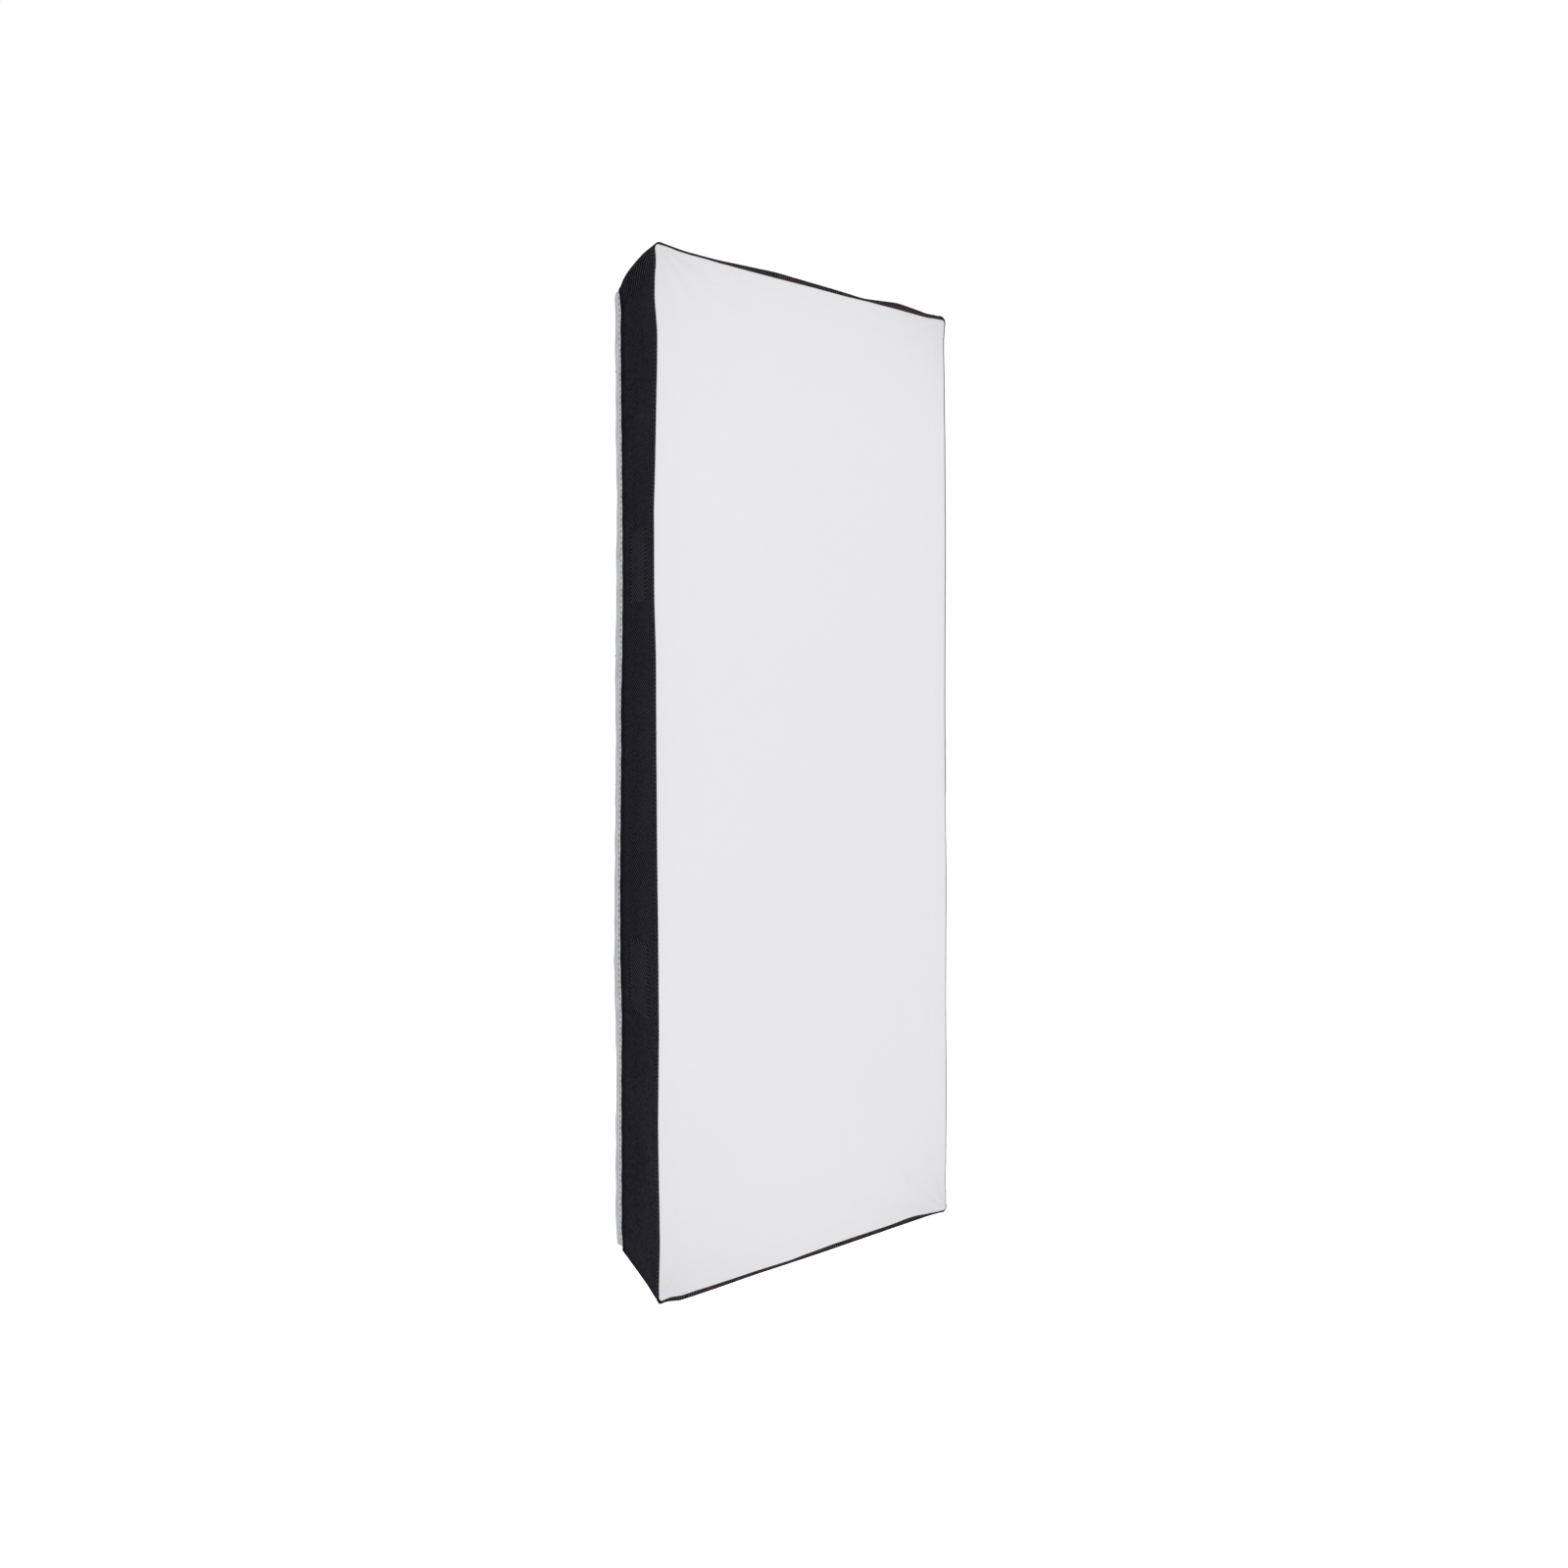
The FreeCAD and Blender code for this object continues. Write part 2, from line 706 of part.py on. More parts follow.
def build_nodes():
    """Every sub-part of the softbox by name."""
    nodes = {}
    for side in SIDES:
        nodes["wall_" + side] = make_wall(side)
        nodes["lining_" + side] = make_lining(side)
        nodes["rear_loop_tape_" + side] = make_rear_tape(side)
        nodes["front_flange_" + side] = make_front_flange(side)
    for corner in CORNERS:
        nodes["front_pocket_" + corner] = make_pocket(corner)
        nodes["corner_post_" + corner] = make_post(corner)
        nodes["rear_gusset_" + corner] = make_gusset(corner)
        nodes["corner_elbow_" + corner] = make_elbow(corner)
        nodes["frame_arm_" + corner] = make_arm(corner)
        nodes["baffle_tab_" + corner] = make_baffle_tab(corner)
    nodes["front_hem"] = make_front_hem()
    nodes["front_loop_tape"] = make_loop_tape()
    nodes["gusset_eyelets"] = make_eyelets()
    nodes["baffle_patches"] = make_patches()
    nodes["inner_baffle"] = make_baffle()
    nodes["front_diffuser"] = make_diffuser()
    nodes["diffuser_hook_tape"] = make_hook_tape()
    nodes["hub_body"] = make_hub()
    nodes["hub_cover"] = make_hub_cover()
    nodes["hub_screws"] = make_hub_screws()
    nodes["tilt_tongue"] = make_tongue()
    nodes["tongue_screws"] = make_foot_screws()
    nodes["tilt_washers"] = make_washers()
    nodes["tilt_bolt"] = make_bolt()
    nodes["tilt_lever"] = make_lever()
    nodes["lever_screw"] = make_lever_screw()
    nodes["stand_bracket"] = make_stand_bracket()
    nodes["lock_pad"] = make_lock_pad()
    nodes["lock_screw"] = make_lock_screw()
    nodes["lock_knob"] = make_lock_knob()
    return nodes


def main():
    os.makedirs("parts", exist_ok=True)
    nodes = build_nodes()
    for name, shape in nodes.items():
        shape.exportStep("parts/" + name + ".step")
    print(len(nodes), "nodes written")


main()
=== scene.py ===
import math

import bmesh
import bpy
import numpy as np
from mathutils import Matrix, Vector


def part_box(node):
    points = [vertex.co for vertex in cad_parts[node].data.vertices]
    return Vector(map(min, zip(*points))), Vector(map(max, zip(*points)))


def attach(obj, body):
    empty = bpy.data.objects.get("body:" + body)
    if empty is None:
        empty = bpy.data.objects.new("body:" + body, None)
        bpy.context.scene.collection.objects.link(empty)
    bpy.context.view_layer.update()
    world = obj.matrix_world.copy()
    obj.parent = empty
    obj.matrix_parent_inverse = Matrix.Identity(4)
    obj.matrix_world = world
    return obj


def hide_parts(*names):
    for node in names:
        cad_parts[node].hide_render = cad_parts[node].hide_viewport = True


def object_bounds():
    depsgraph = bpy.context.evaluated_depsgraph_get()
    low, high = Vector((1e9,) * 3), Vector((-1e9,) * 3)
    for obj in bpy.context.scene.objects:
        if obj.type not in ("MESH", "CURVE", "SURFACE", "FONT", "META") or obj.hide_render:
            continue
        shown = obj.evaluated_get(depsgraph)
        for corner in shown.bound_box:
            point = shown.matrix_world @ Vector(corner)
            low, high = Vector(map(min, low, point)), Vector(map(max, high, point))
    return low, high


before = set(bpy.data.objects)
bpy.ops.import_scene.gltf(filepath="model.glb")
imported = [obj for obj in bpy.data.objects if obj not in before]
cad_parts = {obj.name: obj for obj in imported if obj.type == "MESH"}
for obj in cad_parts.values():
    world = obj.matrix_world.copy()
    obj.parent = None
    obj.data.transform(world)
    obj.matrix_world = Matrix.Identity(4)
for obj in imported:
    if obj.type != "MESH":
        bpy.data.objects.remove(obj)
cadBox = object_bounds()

# Strip softbox: cloth box, hidden X frame and tilting stand bracket. Metres, +Z up, light leaves towards -Y.
mm = 0.001
cornerNames = ("upper_left", "upper_right", "lower_left", "lower_right")
sideNames = ("left", "right", "top", "bottom")
longSides = ("left", "right")


def nodeBox(name):  # lowest and highest corner as numpy arrays
    low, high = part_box(name)
    return np.array(low), np.array(high)


hemLow, hemHigh = nodeBox("front_hem")
tapeLow, tapeHigh = nodeBox("rear_loop_tape_left")
halfWidth = hemHigh[0]
halfHeight = (hemHigh[2] - hemLow[2]) / 2
midHeight = (hemHigh[2] + hemLow[2]) / 2
frontY = hemLow[1]
hemBackY = hemHigh[1]
wallBackY = nodeBox("wall_left")[1][1]
tapeBackY = tapeHigh[1]
cornerRound = 2.4 * mm
wall = {
    "cloth": 0.8 * mm, "cells": 1.6 * mm,
    "stitchPitch": 3.4 * mm, "rimStitchFrom": 8 * mm, "backStitchFrom": 2.4 * mm,
    "patchDepth": 47 * mm, "patchHeight": 67 * mm, "anchorHeight": 183 * mm, "groove": 0.5 * mm,
}
tape = {"cloth": 1.3 * mm, "cell": 1.6 * mm, "stitchFrom": 4.6 * mm, "pitch": 5.5 * mm}
anchorY = sum(nodeBox("baffle_patches"))[1] / 2


def makeMesh(name, points, quads, uv=None):
    mesh = bpy.data.meshes.new(name)
    mesh.from_pydata(points.reshape(-1, 3), [], quads.tolist())
    if uv is not None:
        layer = mesh.uv_layers.new(name="cloth")
        layer.data.foreach_set("uv", uv.reshape(-1, 2)[quads.ravel()].astype(np.float32).ravel())
    mesh.polygons.foreach_set("use_smooth", np.ones(len(quads), bool))
    mesh.update()
    obj = bpy.data.objects.new(name, mesh)
    bpy.context.scene.collection.objects.link(obj)
    return obj


def gridQuads(rows, columns, wrapRows=False, wrapColumns=False, flip=False):
    # the four corner numbers of each cell of a grid
    r = np.arange(rows if wrapRows else rows - 1)
    c = np.arange(columns if wrapColumns else columns - 1)
    r, c = np.meshgrid(r, c, indexing="ij")
    r2, c2 = (r + 1) % rows, (c + 1) % columns
    corners = [r * columns + c, r2 * columns + c, r2 * columns + c2, r * columns + c2]
    quads = np.stack(corners, -1).reshape(-1, 4)
    return quads[:, ::-1] if flip else quads


def makeGrid(name, points, uv=None, **how):
    return makeMesh(name, points, gridQuads(points.shape[0], points.shape[1], **how), uv)


def thicken(obj, thickness, offset):  # a real wall behind a surface
    solid = obj.modifiers.new("wall", "SOLIDIFY")
    solid.thickness, solid.offset = thickness, offset
    solid.use_even_offset = False
    return obj


def joinParts(name, parts):  # several (points, quads) in one mesh
    offset, points, quads = 0, [], []
    for p, q in parts:
        points.append(p.reshape(-1, 3))
        quads.append(q + offset)
        offset += points[-1].shape[0]
    return makeMesh(name, np.concatenate(points), np.concatenate(quads))


def stitchParts(path, out, pitch, length, radius):
    # small bowed capsules spaced along a path; out is the surface's outward normal at each path point
    step = np.linalg.norm(np.diff(path, axis=0), axis=1)
    run = np.concatenate([[0], np.cumsum(step)])
    count = max(1, int(run[-1] / pitch))
    centre = (np.arange(count) + 0.5) * run[-1] / count
    t = np.linspace(-1, 1, 5)
    at = (centre[:, None] + t[None] * length / 2).ravel()
    line = np.stack([np.interp(at, run, path[:, k]) for k in range(3)], -1).reshape(count, 5, 3)
    normal = np.stack([np.interp(centre, run, out[:, k]) for k in range(3)], -1)
    normal /= np.linalg.norm(normal, axis=1, keepdims=True)
    bow = radius * (0.35 + 0.9 * np.sqrt(1 - t ** 2))
    line = line + normal[:, None] * bow[None, :, None]
    ahead = line[:, -1] - line[:, 0]
    ahead /= np.linalg.norm(ahead, axis=1, keepdims=True)
    side = np.cross(ahead, normal)
    angle = np.linspace(0, 2 * np.pi, 6, endpoint=False)
    ring = np.cos(angle)[None, :, None] * side[:, None] + np.sin(angle)[None, :, None] * normal[:, None]
    size = radius * np.array([0.35, 0.9, 1.0, 0.9, 0.35])
    points = line[:, :, None] + size[None, :, None, None] * ring[:, None]
    one = gridQuads(5, 6, wrapColumns=True, flip=True)
    caps = np.array([[0, 1, 2, 3], [0, 3, 4, 5], [27, 26, 25, 24], [29, 28, 27, 24]])
    one = np.concatenate([one, caps])
    quads = (np.arange(count)[:, None, None] * 30 + one[None]).reshape(-1, 4)
    return points.reshape(-1, 3), quads


sideAngle = {"right": 0.0, "top": 0.5 * math.pi, "left": math.pi, "bottom": 1.5 * math.pi}


def sideOutline(side, inset, straight, arc=5):
    # from the middle of one rounded corner to the middle of the next: place, outward normal, distance along
    mid = sideAngle[side]
    boxX, boxZ = halfWidth - cornerRound, halfHeight - cornerRound
    ends = []
    for turn in (-0.25, 0.25):
        a = mid + turn * math.pi
        ends.append(np.array([math.copysign(boxX, math.cos(a)), math.copysign(boxZ, math.sin(a))]))
    first = mid + np.linspace(-0.25 * math.pi, 0, arc, endpoint=False)
    last = mid + np.linspace(0, 0.25 * math.pi, arc + 1)[1:]
    angle = np.concatenate([first, np.full(straight, mid), last])
    share = np.concatenate([np.zeros(arc), np.linspace(0, 1, straight), np.ones(arc)])
    base = ends[0][None] * (1 - share[:, None]) + ends[1][None] * share[:, None]
    normal = np.stack([np.cos(angle), np.sin(angle)], -1)
    place = base + (cornerRound - inset) * normal
    along = place[:, 1] if side in longSides else place[:, 0]
    return place, normal, along


def sideLength(side):
    return 2 * (halfHeight if side in longSides else halfWidth)


def resample(corners, count):  # evenly spaced points along a polyline
    corners = np.array(corners, float)
    run = np.concatenate([[0], np.cumsum(np.hypot(*np.diff(corners, axis=0).T))])
    at = np.linspace(0, run[-1], count)
    return np.interp(at, run, corners[:, 0]), np.interp(at, run, corners[:, 1])


def pushOut(points, normal, lift):  # moves a grid of points along its outline normals, in place
    points[..., 0] += normal[:, :1] * lift
    points[..., 2] += normal[:, 1:] * lift


def roundedSquare(sides, power):  # superellipse: sign(cos) |cos| ^ power, and the same with sin
    angle = np.linspace(0, 2 * np.pi, sides, endpoint=False)
    return [np.sign(wave) * np.abs(wave) ** power for wave in (np.cos(angle), np.sin(angle))]


def outward(normal):  # outline normals as directions in space
    return np.stack([normal[:, 0], np.zeros(len(normal)), normal[:, 1]], -1)


def hump(x, centre, width):  # a bell of height one
    return np.exp(-(((x - centre) / width) ** 2))


# How far the cloth stands proud of the flat outline at the front rim: places, then lifts, in mm.
# On the left and right sides the places are heights from the middle, on the top and bottom they are X.
rimLift = {
    "left": ([-446, -400, -300, -220, -140, -60, 20, 100, 150, 225, 265, 345, 377, 404, 424, 440],
             [-0.4, -1.7, 0.0, -0.9, -0.3, 0.7, 1.2, 1.6, 3.0, 3.3, 2.1, 0.5, 0.2, 2.6, 2.3, 0.4]),
    "right": ([-446, -420, -330, -240, -120, 60, 230, 330, 395, 425, 446],
              [1.0, 0.6, 1.8, 1.2, 2.0, 0.8, 2.0, 1.5, 0.7, 0.0, 1.0]),
    "top": ([-146, -122, -95, -68, -38, -5, 30, 56, 72, 95, 118, 130, 138, 146],
            [1.3, 0.3, 0.0, 1.3, 2.7, 1.7, 0.7, -0.6, 1.2, 3.8, 2.0, 0.6, 1.2, 1.0]),
    "bottom": ([-146, -132, -110, -60, 0, 20, 60, 100, 125, 146],
               [0.0, 1.9, 2.0, 1.2, 1.4, 1.2, 0.75, 0.3, 0.1, 0]),
}
# The same at the wall's back edge, where the tape is sewn on.
backLift = {
    "left": ([-446, -400, -300, -230, -180, -110, -40, 20, 60, 105, 164, 250, 340, 410, 446],
             [-0.9, -0.9, -0.7, -1.1, 0.2, 0.5, -0.1, -0.7, -0.4, -1.6, -2.1, -1.8, -0.8, -0.3, -0.8]),
    "right": ([-446, -360, -190, -60, 90, 200, 300, 400, 446], [0, 0.9, -1.0, 0.6, 2.0, 0.6, 0.9, 0.1, 0]),
    "top": ([-146, -100, -60, 0, 70, 110, 146], [0, 0.6, 1.5, 0.3, -0.8, 0.2, 0]),
    "bottom": ([-146, -80, -20, 40, 100, 146], [0, -0.7, 0.4, 1.3, 0.2, 0]),
}
# Width of the black rim's front face, in mm, at places along the side.
rimWidth = {
    "left": ([-446, 446], [0.6, 0.6]), "right": ([-446, 446], [0.6, 0.6]),
    "top": ([-146, -120, -105, -70, -38, -5, 35, 57, 73, 95, 118, 128, 146],
            [0.9, 1.3, 1.1, 3.0, 4.7, 3.5, 2.8, 1.2, 3.2, 5.7, 4.4, 3.2, 2.6]),
    "bottom": ([-146, -140, -118, -75, -43, -25, -10, 22, 45, 85, 104, 116, 121, 134, 146],
               [1.2, 3.0, 3.4, 2.7, 2.3, 2.0, 2.9, 3.8, 3.6, 3.3, 4.2, 4.0, 2.8, 1.4, 0.8]),
}


def readCurve(curve, along):  # smooth reading of places and heights given in mm
    fine = np.linspace(curve[0][0] - 20, curve[0][-1] + 20, 1400)
    height = np.interp(fine, *curve)
    half = int(9 / (fine[1] - fine[0]))
    kernel = np.hanning(2 * half + 3)[1:-1]
    height = np.convolve(np.pad(height, half, "edge"), kernel / kernel.sum(), "valid")
    return mm * np.interp(along / mm, fine, height)


# Lift of each corner seam at depths behind the front edge, in mm; the two sides that meet there share it.
seamLift = {
    (-1, 1): ([0, 8, 25, 45, 65, 80, 95], [1.9, 2.6, 4.3, 4.7, 4.4, 3.4, 1.0]),
    (1, 1): ([0, 10, 30, 60, 95], [1.4, 1.6, 2.4, 1.4, 0.8]),
    (-1, -1): ([0, 12, 30, 60, 95], [-0.9, -1.6, -2.3, -2.4, -2.2]),
    (1, -1): ([0, 40, 95], [0.6, 1.2, 0.4]),
}


def clothLift(side, along, depth):
    # outward lift of the cloth: rim wave fading into back-edge wave, with a hollow and slanted folds between
    long = side in longSides
    half = (halfHeight if long else halfWidth) - cornerRound
    t = np.clip(depth, 0, 1)
    mixed = readCurve(rimLift[side], along) * (1 - t) ** 1.5 + readCurve(backLift[side], along) * t ** 1.4
    hold = np.clip((half - np.abs(along)) / (20 * mm), 0, 1)
    hold = hold * hold * (3 - 2 * hold)
    hollow = -1.5 * np.sin(np.pi * t) * (0.75 + 0.25 * np.sin(along / (57 * mm)))
    slant = along + 0.55 * (t - 0.5) * 0.1
    folds = 0.42 * np.sin(slant / (11.5 * mm) + 1.7) * hump(slant / mm, 0.78 * half / mm, 58)
    slant = along - 0.07 * (t - 0.5)
    folds = folds + 0.36 * np.sin(slant / (10 * mm)) * hump(along / mm, -0.82 * half / mm, 62)
    folds = folds + 0.16 * np.sin(along / (21 * mm) + 2 * t) + 0.10 * np.sin(along / (8.3 * mm) - 3 * t)
    folds = folds * np.sin(np.pi * np.clip(t, 0.04, 0.96))
    seam = {}
    for end in (-1, 1):
        corner = (-1 if side == "left" else 1, end) if long else (end, -1 if side == "bottom" else 1)
        seam[end] = readCurve(seamLift[corner], t * (wallBackY - frontY))
    return hold * (mixed + mm * (hollow + folds)) + (1 - hold) * np.where(along > 0, seam[1], seam[-1])


lowerRise = {"left": 0.2 * mm, "right": 4.4 * mm}


def settle(points):
    # the lower front edge sits high towards the right: dz = rise(x) * low^2 * front^0.7, where low is 0 at the
    # top and 1 at the bottom, and front is 0 at the wall's back edge and 1 at the rim
    x, y, z = points[..., 0], points[..., 1], points[..., 2]
    right = np.clip((x / halfWidth + 1) / 2, 0, 1)
    low = np.clip((midHeight + halfHeight - z) / (2 * halfHeight), 0, 1)
    front = np.clip((wallBackY - y) / (wallBackY - frontY), 0, 1)
    rise = lowerRise["left"] * (1 - right) + lowerRise["right"] * right
    moved = points.copy()
    moved[..., 2] = z + rise * low ** 2 * front ** 0.7
    return moved


def newMaterial(name):
    material = bpy.data.materials.new(name)
    material.use_nodes = True
    tree = material.node_tree
    shader = tree.nodes["Principled BSDF"]
    return material, tree, shader


def feed(tree, node, inputs):  # a socket is linked, and anything else is set as a constant
    for key, value in inputs.items():
        if isinstance(value, bpy.types.NodeSocket):
            tree.links.new(value, node.inputs[key])
        else:
            node.inputs[key].default_value = value


def addNode(tree, kind, inputs=None, **settings):
    node = tree.nodes.new(kind)
    for key, value in settings.items():
        setattr(node, key, value)
    feed(tree, node, inputs or {})
    return node


def objectPlace(tree):
    return addNode(tree, "ShaderNodeTexCoord").outputs["Object"]


def clothPlace(tree):  # the piece's own cloth UV, in metres
    return addNode(tree, "ShaderNodeUVMap", uv_map="cloth").outputs[0]


def splitPlace(tree, vector):
    return addNode(tree, "ShaderNodeSeparateXYZ", {0: vector}).outputs


def mathNode(tree, operation, first, second=0.0, third=None):
    inputs = {0: first, 1: second}
    if third is not None:
        inputs[2] = third
    return addNode(tree, "ShaderNodeMath", inputs, operation=operation).outputs[0]


def times(tree, first, second):
    return mathNode(tree, "MULTIPLY", first, second)


def timesPlus(tree, first, second, third):
    return mathNode(tree, "MULTIPLY_ADD", first, second, third)


def mapRange(tree, value, low, high, toLow, toHigh):
    inputs = {"Value": value, "From Min": low, "From Max": high, "To Min": toLow, "To Max": toHigh}
    return addNode(tree, "ShaderNodeMapRange", inputs).outputs[0]


def mixColour(tree, factor, first, second):
    inputs = {0: factor, 6: first, 7: second}
    return addNode(tree, "ShaderNodeMix", inputs, data_type="RGBA").outputs[2]


def groupSockets(tree, inputs, outputs):
    for name, value in inputs.items():
        socket = tree.interface.new_socket(name=name, in_out="INPUT", socket_type="NodeSocketFloat")
        socket.default_value = value
    for name, kind in outputs.items():
        tree.interface.new_socket(name=name, in_out="OUTPUT", socket_type=kind)
    return addNode(tree, "NodeGroupInput"), addNode(tree, "NodeGroupOutput")


def placeGroup(tree, group, inputs):
    return addNode(tree, "ShaderNodeGroup", inputs, node_tree=group)


def noiseAt(tree, vector, scale, detail=3.0, roughness=0.5):
    inputs = {"Vector": vector, "Scale": scale, "Detail": detail, "Roughness": roughness}
    return addNode(tree, "ShaderNodeTexNoise", inputs).outputs["Fac"]


def bumpNode(tree, height, strength, distance):
    inputs = {"Height": height, "Strength": strength, "Distance": distance}
    return addNode(tree, "ShaderNodeBump", inputs).outputs[0]


def colour(value, tint=(1, 1, 1)):
    return (value * tint[0], value * tint[1], value * tint[2], 1)


def makeTwillGroup():
    # slanted ribs of a twill: sin(2 pi (across +- slope along) / pitch), leaning one way above the middle of the
    # side and the other way below, mixed over 80 mm each way and broken by yarns; reads the cloth UV
    tree = bpy.data.node_groups.new("twillWeave", "ShaderNodeTree")
    asked, given = groupSockets(tree, {"pitch": 0.0033, "slope": 2.0, "yarns": 0.5},
                                {"Height": "NodeSocketFloat", "Thread": "NodeSocketFloat"})
    uv = clothPlace(tree)
    parts = splitPlace(tree, uv)
    wobble = timesPlus(tree, noiseAt(tree, uv, 60.0, 2.0), 0.0012, parts[0])
    ribs = []
    for lean in (1, -1):
        upward = times(tree, parts[1], lean)
        slanted = timesPlus(tree, upward, asked.outputs["slope"], wobble)
        turns = mathNode(tree, "DIVIDE", slanted, asked.outputs["pitch"])
        rib = mathNode(tree, "SINE", times(tree, turns, 2 * math.pi))
        ribs.append(mathNode(tree, "POWER", timesPlus(tree, rib, 0.5, 0.5), 1.6))
    over = mapRange(tree, parts[1], -0.08, 0.08, 0.0, 1.0)
    first = times(tree, ribs[0], over)
    rib = timesPlus(tree, ribs[1], mathNode(tree, "SUBTRACT", 1.0, over), first)
    yarn = mathNode(tree, "SINE", times(tree, parts[1], 2 * math.pi / (1.15 * mm)))
    yarn = times(tree, timesPlus(tree, yarn, 0.5, 0.5), asked.outputs["yarns"])
    height = times(tree, rib, mathNode(tree, "SUBTRACT", 1.0, yarn))
    fibre = noiseAt(tree, uv, 900.0, 2.0)
    feed(tree, given, {
        "Height": timesPlus(tree, fibre, 0.25, height),
        "Thread": times(tree, height, timesPlus(tree, fibre, 0.6, 0.7)),
    })
    return tree


def makePlainWeaveGroup():
    # over-and-under weave: |sin| of both thread directions, read from the cloth UV in metres
    tree = bpy.data.node_groups.new("plainWeave", "ShaderNodeTree")
    asked, given = groupSockets(tree, {"pitch": 0.0006}, {"Height": "NodeSocketFloat"})
    uv = clothPlace(tree)
    parts = splitPlace(tree, uv)
    waves = []
    for axis in (0, 1):
        turns = mathNode(tree, "DIVIDE", parts[axis], asked.outputs["pitch"])
        waves.append(mathNode(tree, "SINE", times(tree, turns, 2 * math.pi)))
    product = times(tree, waves[0], waves[1])
    fibre = noiseAt(tree, uv, 700.0, 2.0)
    tree.links.new(timesPlus(tree, product, 0.5, fibre), given.inputs["Height"])
    return tree


def makeGrainGroup():
    # fine moulded or cast grain with slow dirt patches, on Object coordinates
    tree = bpy.data.node_groups.new("surfaceGrain", "ShaderNodeTree")
    asked, given = groupSockets(tree, {"scale": 1200.0, "patches": 25.0},
                                {"Height": "NodeSocketFloat", "Patch": "NodeSocketFloat"})
    where = objectPlace(tree)
    feed(tree, given, {
        "Height": noiseAt(tree, where, asked.outputs["scale"], 3.0, 0.6),
        "Patch": noiseAt(tree, where, asked.outputs["patches"], 4.0, 0.55),
    })
    return tree


twillGroup, plainGroup, grainGroup = makeTwillGroup(), makePlainWeaveGroup(), makeGrainGroup()

blackCloth = {
    "dark": 0.0, "light": 0.050, "inside": 1.5,
    "ribPitch": 6.9 * mm, "slope": 1.94, "speck": 2.6 * mm,
}


def makeBlackCloth(name, tint, level=1.0):
    # twill whose lighter threads are partly painted sheen; painted light brightens it towards the front rim, and
    # painted shade darkens it towards the sewn back edge
    material, tree, shader = newMaterial(name)
    ribs = {"pitch": blackCloth["ribPitch"], "slope": blackCloth["slope"], "yarns": 0.45}
    weave = placeGroup(tree, twillGroup, ribs)
    where = objectPlace(tree)
    slow = noiseAt(tree, where, 16.0, 4.0)
    speck = noiseAt(tree, where, 1 / blackCloth["speck"], 2.0, 0.7)
    # the lighter threads and specks are partly painted sheen, where the twill's threads catch the light
    thread = weave.outputs["Thread"]
    thread = times(tree, thread, mapRange(tree, speck, 0.36, 0.66, 0.55, 1.45))
    parts = splitPlace(tree, where)
    depth = parts[1]
    # painted light: the threads are up to 1.4 times lighter near the front rim, fading to 0.95 by 60 mm back
    thread = times(tree, thread, mapRange(tree, depth, frontY + 5 * mm, frontY + 60 * mm, 1.4, 0.95))
    # painted highlight: the cloth inside the two inner anchors' sewn outlines, where it stands proud, is
    # lighter; room is the distance inside each one's outline
    up = mathNode(tree, "ABSOLUTE", mathNode(tree, "SUBTRACT", parts[2], midHeight))
    up = mathNode(tree, "ABSOLUTE", mathNode(tree, "SUBTRACT", up, wall["anchorHeight"]))
    back = mathNode(tree, "ABSOLUTE", mathNode(tree, "SUBTRACT", depth, anchorY))
    room = mathNode(tree, "MINIMUM", mathNode(tree, "SUBTRACT", wall["patchHeight"] / 2, up),
                    mathNode(tree, "SUBTRACT", wall["patchDepth"] / 2, back))
    patchHighlight = mapRange(tree, room, 0.0, 2.0 * mm, 1.0, blackCloth["inside"])
    thread = times(tree, thread, patchHighlight)
    dark, light = colour(blackCloth["dark"], tint), colour(blackCloth["light"] * level, tint)
    base = mixColour(tree, thread, dark, light)
    base = mixColour(tree, mapRange(tree, slow, 0.35, 0.7, 0.0, 0.15), base, colour(0.011 * level, tint))
    # painted shade: darker over the last 14 mm before the sewn back edge
    backEdgeShade = mapRange(tree, depth, wallBackY - 14 * mm, wallBackY - 3 * mm, 0.0, 0.75)
    base = mixColour(tree, backEdgeShade, base, colour(0.002, tint))
    feed(tree, shader, {
        "Base Color": base,
        "Roughness": mapRange(tree, slow, 0.3, 0.7, 0.8, 0.95),
        "Specular IOR Level": 0.02,
        "Normal": bumpNode(tree, weave.outputs["Height"], 0.7, 0.0004),
    })
    return material


